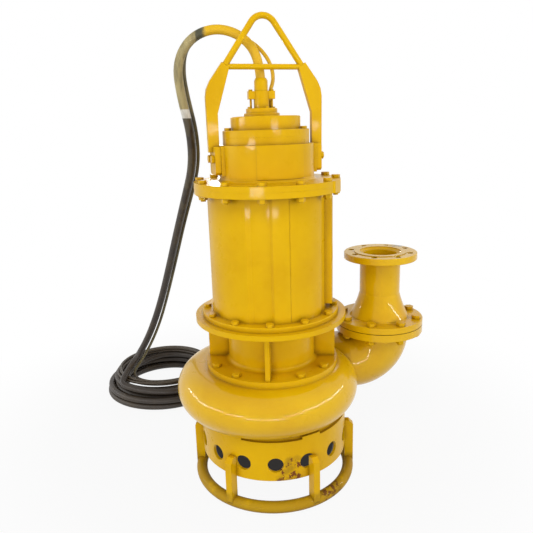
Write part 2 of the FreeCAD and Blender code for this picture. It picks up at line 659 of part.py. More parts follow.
# ---------------------------------------------------------------- motor
def motor_housing():
    foot_top = MOTOR_FOOT + MOTOR_FOOT_T
    head_foot = MOTOR_TOP - MOTOR_HEAD_T
    inner_r = MOTOR_R - MOTOR_WALL
    body = turned((inner_r, MOTOR_FOOT), (MOTOR_FOOT_R, MOTOR_FOOT), (MOTOR_FOOT_R, foot_top - 2),
                  (MOTOR_FOOT_R - 2, foot_top), (MOTOR_R, foot_top), (MOTOR_R, head_foot),
                  (MOTOR_HEAD_R, head_foot), (MOTOR_HEAD_R, MOTOR_TOP), (inner_r, MOTOR_TOP))
    for start, end, slope in MOTOR_PADS:
        body = body.fuse(motor_pad(start, end, slope, MOTOR_R + MOTOR_PAD_H, foot_top - 1, head_foot + 1))
    body = body.fuse(motor_pad(*SIDE_PAD, 1.0, SIDE_PAD_R, foot_top + SIDE_PAD_FOOT,
                               head_foot - SIDE_PAD_HEAD))
    body = body.fuse(head_ear(head_foot, MOTOR_TOP))
    body = drilled(body, HEAD_BOLT_R + HOLE_PLAY, HEAD_BOLT_PCD, HEAD_BOLTS, HEAD_BOLT_TURN,
                   head_foot - 1, MOTOR_TOP + 1)
    body = drilled(body, MOTOR_BOLT_R + HOLE_PLAY, MOTOR_BOLT_PCD, MOTOR_BOLTS, MOTOR_BOLT_TURN,
                   MOTOR_FOOT - 1, foot_top + 1)
    return body.removeSplitter()


def motor_pad(start, end, slope, radius, z0, z1):
    """Raised pad on the barrel of the motor, with its two long sides sloping down to the barrel."""
    inner = MOTOR_R - 2
    middle = (start + end) / 2
    foot = polar(inner, start - slope, z0)
    far_foot = polar(inner, end + slope, z0)
    edges = [Part.Arc(foot, polar(inner, middle, z0), far_foot).toShape(),
             Part.LineSegment(far_foot, polar(radius, end, z0)).toShape(),
             Part.Arc(polar(radius, end, z0), polar(radius, middle, z0), polar(radius, start, z0)).toShape(),
             Part.LineSegment(polar(radius, start, z0), foot).toShape()]
    return Part.Face(Part.Wire(edges)).extrude(Vector(0, 0, z1 - z0))


def head_ear(z0, z1):
    """Flat-faced ear on the rim of the round flange."""
    inner = HEAD_BOLT_PCD / 2
    shoulder = EAR_R - EAR_BEVEL
    bevel = EAR_HALF_W - EAR_BEVEL
    corners = [(inner, -EAR_HALF_W), (shoulder, -EAR_HALF_W), (EAR_R, -bevel), (EAR_R, bevel),
               (shoulder, EAR_HALF_W), (inner, EAR_HALF_W)]
    points = [Vector(x, y, z0) for x, y in corners]
    ear = Part.Face(Part.makePolygon(points + points[:1])).extrude(Vector(0, 0, z1 - z0))
    return spun(ear, EAR_TURN)


def stator_core():
    core = tube(MOTOR_R - MOTOR_WALL - FIT, STATOR_BORE_R, STATOR_FOOT, STATOR_TOP)
    slot = box(STATOR_BORE_R - 5, -SLOT_W / 2, STATOR_FOOT - 1, STATOR_BORE_R + SLOT_DEPTH, SLOT_W / 2,
               STATOR_TOP + 1)
    return core.cut(Part.makeCompound(ring_of(slot, STATOR_SLOTS)))


def stator_windings():
    inner = STATOR_BORE_R + 2
    outer = STATOR_BORE_R + SLOT_DEPTH + 12
    rings = [turned((inner, z0), (outer, z0), (outer - 5, z1), (inner + 5, z1))
             for z0, z1 in ((STATOR_TOP + 1, STATOR_TOP + WINDING_OVERHANG),
                            (STATOR_FOOT - 1, STATOR_FOOT - WINDING_OVERHANG))]
    bar = box(STATOR_BORE_R + 3, -SLOT_W / 2 + SEAT, STATOR_FOOT - 2, STATOR_BORE_R + SLOT_DEPTH - SEAT,
              SLOT_W / 2 - SEAT, STATOR_TOP + 2)
    return rings[0].fuse([rings[1]] + ring_of(bar, STATOR_SLOTS)).removeSplitter()


# ---------------------------------------------------------------- upper bearing housing and cover
def upper_bearing_housing():
    bore, outer, width, ball_r, bearing_foot = UPPER_BEARING
    inner_r = BARREL_R - BARREL_WALL
    body = turned((outer + 14, MOTOR_TOP), (MOTOR_HEAD_R, MOTOR_TOP), (MOTOR_HEAD_R, HEAD_PLATE_TOP),
                  (BARREL_R + 8, HEAD_PLATE_TOP),
                  ((BARREL_R + 3, HEAD_PLATE_TOP + 3), (BARREL_R, HEAD_PLATE_TOP + 9)),
                  (BARREL_R, BARREL_TOP), (BARREL_LAND_R, BARREL_TOP),
                  (BARREL_LAND_R, BARREL_TOP - BARREL_LAND_H), (inner_r, BARREL_TOP - 2 * BARREL_LAND_H),
                  (inner_r, bearing_foot + 9),
                  (outer + 14, bearing_foot + 9), (outer + 14, bearing_foot + width),
                  (outer + FIT, bearing_foot + width), (outer + FIT, bearing_foot),
                  (bore + 12, bearing_foot), (bore + 12, bearing_foot - 6), (outer + 14, bearing_foot - 6))
    body = body.fuse(head_ear(MOTOR_TOP, HEAD_PLATE_TOP))
    seat = turned((BARREL_R - 1, HEAD_PLATE_TOP + 9), (BARREL_R + SEAT_PLATE_H, HEAD_PLATE_TOP + 9),
                  (BARREL_R + SEAT_PLATE_H, BARREL_TOP), (BARREL_R - 1, BARREL_TOP),
                  angle=SEAT_PLATE_TO - SEAT_PLATE_FROM)
    body = body.fuse(spun(seat, SEAT_PLATE_FROM))
    body = drilled(body, HEAD_BOLT_R + HOLE_PLAY, HEAD_BOLT_PCD, HEAD_BOLTS, HEAD_BOLT_TURN,
                   MOTOR_TOP - 1, HEAD_PLATE_TOP + 1)
    half = PAD_W / 2 + 3
    inner = BARREL_R - BARREL_WALL + 2
    boss = box(inner, -half, PAD_FOOT - 3, BARREL_R + BOSS_H, half, PAD_TOP)
    boss = boss.cut(cylinder(BARREL_R - BARREL_WALL, PAD_FOOT - 4, PAD_TOP + 1))
    for side in (0, 180):
        body = body.fuse(spun(boss, BAIL_TURN + side))
        for seat, outward in bail_bolt_seats(side):
            depth = PAD_T + BAIL_BOLT_BITE + 1
            body = body.cut(Part.makeCylinder(BAIL_BOLT_R + FIT, depth, seat, outward * -1.0))
    for azimuth in COVER_BOLT_AZIMUTHS:
        at = polar(COVER_BOLT_AT_R, azimuth)
        body = body.cut(cylinder(COVER_BOLT_R + FIT, BARREL_TOP - COVER_BOLT_BITE - 1, BARREL_TOP + 1,
                                 at.x, at.y))
    return body.removeSplitter()


def cover_ring():
    inner = BOX_R - BOX_WALL
    ring = turned((inner - BOARD_LEDGE, BARREL_TOP), (COVER_R, BARREL_TOP), (COVER_R, COVER_RING_TOP),
                  (inner, COVER_RING_TOP), (inner, COVER_RING_TOP - BOARD_T - 1),
                  (inner - BOARD_LEDGE, COVER_RING_TOP - BOARD_T - 1))
    return cover_bolt_holes(ring, BARREL_TOP, COVER_RING_TOP)


def cover_bolt_holes(shape, z0, z1):
    for azimuth in COVER_BOLT_AZIMUTHS:
        at = polar(COVER_BOLT_AT_R, azimuth)
        shape = shape.cut(cylinder(COVER_BOLT_R + HOLE_PLAY, z0 - 1, z1 + 1, at.x, at.y))
    return shape


def cover_bolts():
    grip = COVER_TOP - BARREL_TOP + COVER_BOLT_BITE
    parts = []
    for azimuth in COVER_BOLT_AZIMUTHS:
        parts.extend(bolt(COVER_BOLT_R, grip, polar(COVER_BOLT_AT_R, azimuth, COVER_TOP), nut=False))
    return parts


def terminal_cover():
    inner = BOX_R - BOX_WALL
    body = turned((inner, COVER_RING_TOP), (COVER_R, COVER_RING_TOP), (COVER_R, COVER_TOP - 1.5),
                  (COVER_R - 1.5, COVER_TOP), (BOX_R, COVER_TOP), (BOX_R, BOX_TOP - 2),
                  (BOX_R - 2, BOX_TOP), (0, BOX_TOP), (0, BOX_TOP - BOX_WALL),
                  (inner, BOX_TOP - BOX_WALL))
    body = body.cut(cylinder(GLAND_HOLE_R, BOX_TOP - BOX_WALL - 1, BOX_TOP + 1, GLAND_X, GLAND_Y))
    return cover_bolt_holes(body, COVER_RING_TOP, COVER_TOP)


def terminal_board():
    top = COVER_RING_TOP - 1
    board = cylinder(BOX_R - BOX_WALL - SEAT, top - BOARD_T, top)
    studs = []
    for k in range(BOARD_STUDS):
        studs.extend(bolt(3.0, 4, polar(48, 360 * k / BOARD_STUDS, top), nut=False))
    for stud in studs:
        board = board.cut(stud)
    return [board] + studs


# ---------------------------------------------------------------- cable gland
def gland_base():
    flange_top = BOX_TOP + GLAND_FLANGE_T
    bore = CABLE_R + SEAT
    body = turned((bore, BOX_TOP), (GLAND_FLANGE_R, BOX_TOP), (GLAND_FLANGE_R, flange_top - 1.5),
                  (GLAND_FLANGE_R - 1.5, flange_top), (GLAND_BASE_R, flange_top),
                  (GLAND_BASE_R, GLAND_BASE_TOP - 1.5), (GLAND_BASE_R - 1.5, GLAND_BASE_TOP),
                  (bore, GLAND_BASE_TOP), x=GLAND_X, y=GLAND_Y)
    body = body.cut(cylinder(CONTROL_CORE_R, BOX_TOP - 1, GLAND_BASE_TOP + 1, CONTROL_X, CONTROL_Y))
    return drilled(body, GLAND_BOLT_R + FIT, GLAND_BOLT_PCD, GLAND_BOLTS, GLAND_BOLT_TURN, BOX_TOP - 1,
                   GLAND_BASE_TOP + 1, GLAND_X, GLAND_Y)


def gland_bolts():
    parts = []
    for k in range(GLAND_BOLTS):
        at = polar(GLAND_BOLT_PCD / 2, GLAND_BOLT_TURN + 360.0 * k / GLAND_BOLTS, GLAND_BASE_TOP)
        parts.extend(bolt(GLAND_BOLT_R, GLAND_FLANGE_T + GLAND_BASE_T - 1, at + Vector(GLAND_X, GLAND_Y, 0),
                          nut=False))
    return parts


def gland_body():
    bore = CABLE_R + 3
    return turned((bore, GLAND_BASE_TOP), (GLAND_BODY_R, GLAND_BASE_TOP), (GLAND_BODY_R, CLAMP_FOOT),
                  (bore, CLAMP_FOOT), x=GLAND_X, y=GLAND_Y)


def gland_grommet():
    return turned((CABLE_R + FIT, GLAND_BASE_TOP), (CABLE_R + 3 - FIT, GLAND_BASE_TOP),
                  (CABLE_R + 3 - FIT, CLAMP_FOOT + 6), (CABLE_R + FIT, CLAMP_FOOT + 6), x=GLAND_X,
                  y=GLAND_Y)


def cable_tail():
    """The stretch of the power cable that the gland grips, down into the terminal box."""
    return cylinder(CABLE_R, TAIL_FOOT, TAIL_TOP, GLAND_X, GLAND_Y)


def gland_clamp():
    """Two-eared follower that squeezes the grommet, with the bell mouth of the gland above it."""
    top = CLAMP_FOOT + CLAMP_T
    ears = [box(-CLAMP_SPAN, -9, CLAMP_FOOT, CLAMP_SPAN, 9, top)]
    body = cylinder(GLAND_BODY_R, CLAMP_FOOT, top).fuse(ears)
    neck = turned((0, top), (GLAND_CAP_R, top), (GLAND_CAP_R, GLAND_TOP - 7), (GLAND_CAP_R - 3.5, GLAND_TOP),
                  (0, GLAND_TOP))
    body = body.fuse(neck)
    body = body.cut(cylinder(CABLE_R + SEAT, CLAMP_FOOT - 1, GLAND_TOP + 1))
    body = body.cut(cylinder(CABLE_R + 3, CLAMP_FOOT - 1, CLAMP_FOOT + 6))
    for side in (-1, 1):
        body = body.cut(cylinder(GLAND_BOLT_R + FIT, CLAMP_FOOT - 1, top + 1, side * (CLAMP_SPAN - 7)))
    body = spun(body.removeSplitter(), CLAMP_TURN)
    body.translate(Vector(GLAND_X, GLAND_Y, 0))
    return body


def gland_clamp_bolts():
    parts = []
    for side in (0, 180):
        at = polar(CLAMP_SPAN - 7, CLAMP_TURN + side, CLAMP_FOOT + CLAMP_T)
        parts.extend(bolt(GLAND_BOLT_R, CLAMP_FOOT + CLAMP_T - GLAND_BASE_TOP,
                          at + Vector(GLAND_X, GLAND_Y, 0),
                          nut=False))
    return parts


def control_gland():
    top = CONTROL_TOP
    shoulder = GLAND_BASE_TOP + CONTROL_NUT_H
    cap_r = CONTROL_NUT_FLATS / 2 - 0.5
    nut = hexagon(CONTROL_NUT_FLATS, CONTROL_NUT_H, Vector(CONTROL_X, CONTROL_Y, GLAND_BASE_TOP))
    cap = turned((0, shoulder), (cap_r, shoulder), (cap_r, top - 3), (cap_r - 1.5, top), (0, top),
                 x=CONTROL_X, y=CONTROL_Y)
    body = nut.fuse(cap)
    return body.cut(cylinder(CONTROL_R + SEAT, GLAND_BASE_TOP - 1, top + 1, CONTROL_X,
                             CONTROL_Y)).removeSplitter()


# ---------------------------------------------------------------- cords
def cord_path(points):
    """Straight runs joined by tangent arcs, each as large as its two runs allow."""
    points = [Vector(*p) for p in points]
    edges = []
    radii = []
    here = points[0]
    for before, corner, after in zip(points, points[1:], points[2:]):
        back = (before - corner)
        ahead = (after - corner)
        shorter = min(back.Length, ahead.Length)
        half_turn = (math.pi - back.getAngle(ahead)) / 2
        radius = 0.45 * shorter / math.tan(half_turn)
        radii.append(radius)
        back.normalize()
        ahead.normalize()
        start = corner + back * (0.45 * shorter)
        end = corner + ahead * (0.45 * shorter)
        inward = back + ahead
        inward.normalize()
        middle = corner + inward * (radius / math.cos(half_turn) - radius)
        edges.append(Part.LineSegment(here, start).toShape())
        edges.append(Part.Arc(start, middle, end).toShape())
        here = end
    edges.append(Part.LineSegment(here, points[-1]).toShape())
    return Part.Wire(edges), radii


def cord(name, points, radius):
    path, radii = cord_path(points)
    section = Part.Wire(Part.makeCircle(radius, Vector(*points[0]), Vector(*points[1]) - Vector(*points[0])))
    solid = path.makePipeShell([section], True, True)
    ratio = solid.Volume / (math.pi * radius ** 2 * path.Length)
    print(name, "length", round(path.Length), "volume ratio", round(ratio, 4), "radii",
          [round(r) for r in radii])
    return solid


def cable_coil():
    """Outer shape of the wound cable, a flattened ring that lies on the floor."""
    half = COIL_W / 2
    side = COIL_H / 2
    return turned((COIL_R - half * 0.55, 0), (COIL_R + half * 0.55, 0),
                  ((COIL_R + half, side * 0.9), (COIL_R + half * 0.5, COIL_H)),
                  (COIL_R - half * 0.5, COIL_H), ((COIL_R - half, side * 0.9), (COIL_R - half * 0.55, 0)),
                  x=COIL_X, y=COIL_Y)


# ---------------------------------------------------------------- lifting bail
def rod_join():
    """Where the straight of the rod meets the bend at the apex, in the (u, z) plane of the bail."""
    centre_z = APEX_Z - APEX_BEND_R
    u = ROD_FOOT[0]
    drop = ROD_FOOT[1] - centre_z
    reach = math.hypot(u, drop)
    angle = math.atan2(drop, u) + math.acos(APEX_BEND_R / reach)
    return (APEX_BEND_R * math.cos(angle), centre_z + APEX_BEND_R * math.sin(angle))


def bail_legs():
    join = rod_join()
    along = Vector(join[0] - ROD_FOOT[0], 0, join[1] - ROD_FOOT[1])
    along.normalize()
    across = Vector(along.z, 0, -along.x) * TIP_HALF_W
    corners = [(PAD_FACE_R, BAIL_FOOT), (BAIL_OUT - 1, BAIL_FOOT), (BAIL_OUT, KNEE_Z),
               (BAIL_OUT - 3, KNEE_Z + KNEE_BEVEL / 2), (BAIL_OUT - 12, KNEE_Z + KNEE_BEVEL),
               (ROD_FOOT[0] + across.x, ROD_FOOT[1] + across.z),
               (ROD_FOOT[0] - across.x, ROD_FOOT[1] - across.z), (BAIL_IN, INNER_KNEE_Z), (BAIL_IN, PAD_TOP),
               (PAD_FACE_R, PAD_TOP)]
    points = [Vector(u, -BAIL_T / 2, z) for u, z in corners]
    leg = Part.Face(Part.makePolygon(points + points[:1])).extrude(Vector(0, BAIL_T, 0))
    return [spun(leg, BAIL_TURN + side) for side in (0, 180)]


def bail_rod():
    u, z = rod_join()
    foot = Vector(ROD_FOOT[0], 0, ROD_FOOT[1])
    join = Vector(u, 0, z)
    top = Vector(0, 0, APEX_Z)
    far_join = Vector(-u, 0, z)
    far_foot = Vector(-foot.x, 0, foot.z)
    path = Part.Wire([Part.LineSegment(foot, join).toShape(), Part.Arc(join, top, far_join).toShape(),
                      Part.LineSegment(far_join, far_foot).toShape()])
    section = Part.Wire(Part.makeCircle(ROD_R, foot, join - foot))
    return spun(path.makePipeShell([section], True, True), BAIL_TURN)


def bail_crossbar(legs, rod):
    reach = ROD_FOOT[0] + 10
    bar = Part.makeCylinder(CROSS_R, 2 * reach, Vector(-reach, 0, CROSS_Z), Vector(1, 0, 0))
    bar = spun(bar, BAIL_TURN).cut(legs + [rod])
    middle = [solid for solid in bar.Solids if solid.BoundBox.Center.Length < CROSS_Z + 5
              and abs(solid.BoundBox.Center.x) < 5]
    return middle[0]


def bail_pads():
    pad = box(BARREL_R + BOSS_H, -PAD_W / 2, PAD_FOOT, PAD_FACE_R, PAD_W / 2, PAD_TOP)
    upright = [edge for edge in pad.Edges if abs(edge.BoundBox.XLength - PAD_T) < 1e-6]
    pad = pad.makeChamfer(6.0, upright)
    pads = []
    for side in (0, 180):
        copy = spun(pad, BAIL_TURN + side)
        for seat, outward in bail_bolt_seats(side):
            copy = copy.cut(Part.makeCylinder(BAIL_BOLT_R + HOLE_PLAY, PAD_T + 2, seat + outward,
                                              outward * -1.0))
        pads.append(copy)
    return pads


def bail_bolt_seats(side):
    """Seat points of the radial bolts of one foot, with the way their heads point."""
    outward = polar(1, BAIL_TURN + side)
    sideways = polar(1, BAIL_TURN + side + 90)
    return [(outward * PAD_FACE_R + sideways * offset + Vector(0, 0, BAIL_BOLT_Z), outward)
            for offset in (-BAIL_BOLT_SPREAD, BAIL_BOLT_SPREAD)]


def bail_bolts():
    parts = []
    for side in (0, 180):
        for seat, outward in bail_bolt_seats(side):
            parts.extend(bolt(BAIL_BOLT_R, PAD_T + BAIL_BOLT_BITE, seat, outward, nut=False))
    return parts


# ---------------------------------------------------------------- flange bolts
def bracket_bolts():
    seat_z = BRACKET_FOOT + BRACKET_FOOT_T
    parts = []
    for k in range(RIB_COUNT):
        for offset in BRACKET_BOLT_FROM_RIB:
            seat = polar(BRACKET_BOLT_PCD / 2, RIB_TURN + offset + 360.0 * k / RIB_COUNT, seat_z)
            parts.extend(bolt(BRACKET_BOLT_R, BRACKET_FOOT_T + BRACKET_BOLT_BITE, seat, nut=False))
    return parts


def motor_bolts():
    seat_z = MOTOR_FOOT + MOTOR_FOOT_T
    grip = MOTOR_FOOT_T + BRACKET_HEAD_T - 2
    parts = []
    for k in range(MOTOR_BOLTS):
        seat = polar(MOTOR_BOLT_PCD / 2, MOTOR_BOLT_TURN + 360.0 * k / MOTOR_BOLTS, seat_z)
        parts.extend(bolt(MOTOR_BOLT_R, grip, seat, nut=False))
    return parts


def head_bolts():
    grip = MOTOR_HEAD_T + HEAD_PLATE_T
    parts = []
    for k in range(HEAD_BOLTS):
        seat = polar(HEAD_BOLT_PCD / 2, HEAD_BOLT_TURN + 360.0 * k / HEAD_BOLTS, HEAD_PLATE_TOP)
        parts.extend(bolt(HEAD_BOLT_R, grip, seat))
    return parts


def bearing_caps():
    """Rings that hold the outer races down."""
    low = LOWER_BEARING
    high = UPPER_BEARING
    lower = tube(low[1] - SEAT, low[1] - 14, low[4] + low[2], BRACKET_TOP)
    upper = tube(high[1] + 14, high[1] - 12, high[4] + high[2], high[4] + high[2] + 8)
    return lower, upper


# ---------------------------------------------------------------- discharge
def bent_pipe(radius, extra=0.0):
    """Straight stub along +X, a quarter bend and a straight up to the flange."""
    start = Vector(NOZZLE_END_X - extra, NOZZLE_Y, NOZZLE_Z)
    bend_x = OUTLET_X - BEND_R
    bend_z = NOZZLE_Z + BEND_R
    stub = Part.makeCylinder(radius, bend_x - start.x, start, Vector(1, 0, 0))
    disc = Part.Face(Part.Wire(Part.makeCircle(radius, Vector(bend_x, NOZZLE_Y, NOZZLE_Z), Vector(1, 0, 0))))
    bend = disc.revolve(Vector(bend_x, NOZZLE_Y, bend_z), Vector(0, -1, 0), 90)
    riser = cylinder(radius, bend_z, ELBOW_TOP + extra, OUTLET_X, NOZZLE_Y)
    return stub.fuse([bend, riser])


def discharge_elbow():
    flange = cylinder(ELBOW_FLANGE_R, ELBOW_FLANGE_FOOT, ELBOW_TOP, OUTLET_X, NOZZLE_Y)
    body = bent_pipe(PIPE_R).fuse(flange).cut(bent_pipe(PIPE_R - PIPE_WALL, 1.0))
    body = drilled(body, ELBOW_BOLT_R + HOLE_PLAY, ELBOW_PCD, ELBOW_BOLTS, ELBOW_BOLT_TURN,
                   ELBOW_FLANGE_FOOT - 1, ELBOW_TOP + 1, OUTLET_X, NOZZLE_Y)
    return body.removeSplitter()


def discharge_gasket():
    return tube(ELBOW_PCD / 2 - ELBOW_BOLT_R - 2, PIPE_R - PIPE_WALL, ELBOW_TOP, REDUCER_FOOT, OUTLET_X,
                NOZZLE_Y)


def discharge_reducer():
    inner = PIPE_R - PIPE_WALL
    flange_top = REDUCER_FOOT + REDUCER_FLANGE_T
    head = OUTLET_TOP - OUTLET_FACE_H
    head_foot = head - OUTLET_FLANGE_T
    waist = (CONE_FOOT_R + NECK_R) / 2 - 2
    mouth = OUTLET_TOP - OUTLET_MOUTH_DEPTH
    body = turned((inner, REDUCER_FOOT), (ELBOW_FLANGE_R, REDUCER_FOOT), (ELBOW_FLANGE_R, flange_top - 2),
                  (ELBOW_FLANGE_R - 2, flange_top), (CONE_FOOT_R + 4, flange_top),
                  ((CONE_FOOT_R + 1, flange_top + 1), (CONE_FOOT_R, flange_top + 4)),
                  ((waist, (flange_top + CONE_TOP) / 2), (NECK_R, CONE_TOP)), (NECK_R, head_foot - 6),
                  ((NECK_R + 2, head_foot - 2), (NECK_R + 6, head_foot)), (OUTLET_FLANGE_R - 1.5, head_foot),
                  (OUTLET_FLANGE_R, head_foot + 1.5), (OUTLET_FLANGE_R, head - 2),
                  (OUTLET_FLANGE_R - 2, head),
                  (OUTLET_FACE_R, head), (OUTLET_FACE_R, OUTLET_TOP), (OUTLET_MOUTH_R, OUTLET_TOP),
                  (OUTLET_MOUTH_R, mouth + 5), (OUTLET_MOUTH_R - 5, mouth), (OUTLET_BORE_R, mouth),
                  (OUTLET_BORE_R, CONE_TOP), (inner, flange_top), x=OUTLET_X, y=NOZZLE_Y)
    body = drilled(body, OUTLET_HOLE_R, OUTLET_PCD, OUTLET_HOLES, OUTLET_HOLE_TURN, head_foot - 1, head + 1,
                   OUTLET_X, NOZZLE_Y)
    return drilled(body, ELBOW_BOLT_R + HOLE_PLAY, ELBOW_PCD, ELBOW_BOLTS, ELBOW_BOLT_TURN,
                   REDUCER_FOOT - 1, flange_top + 1, OUTLET_X, NOZZLE_Y)


def discharge_bolts():
    top = REDUCER_FOOT + REDUCER_FLANGE_T
    parts = []
    for k in range(ELBOW_BOLTS):
        at = polar(ELBOW_PCD / 2, ELBOW_BOLT_TURN + 360.0 * k / ELBOW_BOLTS, top)
        seat = at + Vector(OUTLET_X, NOZZLE_Y, 0)
        parts.extend(bolt(ELBOW_BOLT_R, top - ELBOW_FLANGE_FOOT, seat))
    return parts


def main():
    os.makedirs("parts", exist_ok=True)
    save("base_ring", base_ring())
    save("base_legs", base_legs())
    save("strainer_skirt", strainer_skirt())
    save("volute_casing", volute_casing())
    save("suction_cover", suction_cover())
    save("suction_cover_bolts", suction_cover_bolts())
    save("impeller", impeller())
    save("impeller_key", keyway(FIT))
    save("back_wear_plate", back_wear_plate())
    save("agitator", agitator())
    save("shaft", shaft())
    save("rotor_core", rotor_core())
    for name, size in (("lower", LOWER_BEARING), ("upper", UPPER_BEARING)):
        inner_ring, outer_ring, balls, cage = bearing(size)
        save(name + "_bearing_inner_ring", inner_ring)
        save(name + "_bearing_outer_ring", outer_ring)
        save(name + "_bearing_balls", balls)
        save(name + "_bearing_cage", cage)
    lower_cap, upper_cap = bearing_caps()
    save("lower_bearing_cap", lower_cap)
    save("upper_bearing_cap", upper_cap)
    save("bearing_bracket", bearing_bracket())
    save("bracket_bolts", bracket_bolts())
    save("oil_plugs", oil_plugs())
    seat, face, bellows, collar = seal_parts()
    save("seal_cover", seal_cover())
    save("seal_seat", seat)
    save("seal_face_ring", face)
    save("seal_bellows", bellows)
    save("seal_collar", collar)
    save("motor_housing", motor_housing())
    save("motor_bolts", motor_bolts())
    save("stator_core", stator_core())
    save("stator_windings", stator_windings())
    save("upper_bearing_housing", upper_bearing_housing())
    save("head_bolts", head_bolts())
    save("cover_ring", cover_ring())
    save("terminal_cover", terminal_cover())
    save("terminal_board", terminal_board())
    save("cover_bolts", cover_bolts())
    save("gland_base", gland_base())
    save("gland_bolts", gland_bolts())
    save("gland_body", gland_body())
    save("gland_grommet", gland_grommet())
    save("gland_clamp", gland_clamp())
    save("gland_clamp_bolts", gland_clamp_bolts())
    save("control_gland", control_gland())
    save("cable_tail", cable_tail())
    save("power_cable", cord("power_cable", POWER_ROUTE, CABLE_R))
    save("control_cable", cord("control_cable", CONTROL_ROUTE, CONTROL_R))
    save("cable_coil", cable_coil())
    legs = bail_legs()
    save("bail_legs", legs)
    rod = bail_rod()
    save("bail_rod", rod)
    save("bail_crossbar", bail_crossbar(legs, rod))
    save("bail_pads", bail_pads())
    save("bail_bolts", bail_bolts())
    save("discharge_elbow", discharge_elbow())
    save("discharge_gasket", discharge_gasket())
    save("discharge_reducer", discharge_reducer())
    save("discharge_bolts", discharge_bolts())


main()
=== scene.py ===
import math

import bmesh
import bpy
from bpy.props import FloatProperty, FloatVectorProperty, IntProperty, PointerProperty
from mathutils import Matrix, Vector


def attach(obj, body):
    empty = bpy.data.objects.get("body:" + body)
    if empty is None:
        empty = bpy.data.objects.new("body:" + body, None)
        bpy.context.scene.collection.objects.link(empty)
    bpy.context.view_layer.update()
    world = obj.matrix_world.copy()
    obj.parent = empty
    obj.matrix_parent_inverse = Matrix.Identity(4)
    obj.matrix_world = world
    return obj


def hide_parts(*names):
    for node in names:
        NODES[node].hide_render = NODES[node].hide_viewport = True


bl_info = {
    "name": "Submersible Slurry Pump",
    "version": (1, 0, 0),
    "blender": (4, 5, 0),
    "location": "View3D > Sidebar > Slurry Pump",
    "description": "Dresses a submersible slurry pump with its enamel, worn iron and cables",
    "category": "Object",
}

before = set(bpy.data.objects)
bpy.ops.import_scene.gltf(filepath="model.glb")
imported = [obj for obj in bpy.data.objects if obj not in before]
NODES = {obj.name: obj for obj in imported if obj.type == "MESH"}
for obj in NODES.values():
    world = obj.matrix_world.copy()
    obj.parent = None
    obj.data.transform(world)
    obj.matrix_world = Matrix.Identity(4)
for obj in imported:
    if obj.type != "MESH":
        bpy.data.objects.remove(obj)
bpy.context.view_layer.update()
CASING_BODY = "pump_frame"

# Metres. The supply cable leaves the gland, arches over and lands on its coil.
SUPPLY_ROUTE = (
    (-0.009, 0.024, 1.085), (-0.009, 0.024, 1.154), (-0.050, 0.027, 1.212), (-0.118, 0.031, 1.235),
    (-0.186, 0.037, 1.214), (-0.227, 0.047, 1.153), (-0.222, 0.062, 1.070), (-0.205, 0.086, 0.975),
    (-0.211, 0.124, 0.885), (-0.243, 0.180, 0.800), (-0.292, 0.262, 0.670), (-0.341, 0.340, 0.533),
    (-0.385, 0.402, 0.412), (-0.431, 0.452, 0.301), (-0.474, 0.482, 0.214), (-0.513, 0.488, 0.152),
    (-0.545, 0.458, 0.111), (-0.558, 0.402, 0.088))
CONTROL_ROUTE = (
    (0.011, 0.0477, 1.034), (0.011, 0.0477, 1.070), (0.026, 0.048, 1.108), (0.016, 0.049, 1.152),
    (-0.014, 0.050, 1.190), (-0.058, 0.051, 1.216), (-0.112, 0.054, 1.230), (-0.166, 0.058, 1.222),
    (-0.204, 0.064, 1.188), (-0.214, 0.072, 1.132), (-0.206, 0.080, 1.068), (-0.190, 0.101, 0.976),
    (-0.195, 0.139, 0.886), (-0.227, 0.196, 0.800), (-0.264, 0.254, 0.706), (-0.300, 0.314, 0.604),
    (-0.336, 0.370, 0.502), (-0.370, 0.418, 0.408), (-0.404, 0.456, 0.318), (-0.440, 0.484, 0.238),
    (-0.476, 0.498, 0.172), (-0.506, 0.492, 0.126), (-0.527, 0.460, 0.101))
COIL_CENTRE = (-0.425, 0.545)
SUPPLY_LANDING = 234.0      # azimuth on the coil at which each cable starts to turn
CONTROL_LANDING = 236.0
SUPPLY_TURNS = 7.1
CONTROL_TURNS = 3.8
MILLIMETRES = 1000.0

# Metres and degrees. The camera looks down by CAMERA_DROP, from in front of the pump.
CAMERA_PLACE = (0.0, -1.4561, 0.9829)
CAMERA_DROP = 14.187
CAMERA_TURN = 0.317
CAMERA_ROLL = -1.675

# Low band of narrow lamps round the front: degrees right of the front, degrees above the floor.
STRIP_LAMPS = ((-105, 12), (-82, 9), (-60, 11), (-38, 6), (-15, 0), (8, -3), (30, 8), (52, 16), (75, 18),
               (100, 19))
STRIP_REACH = 5.0


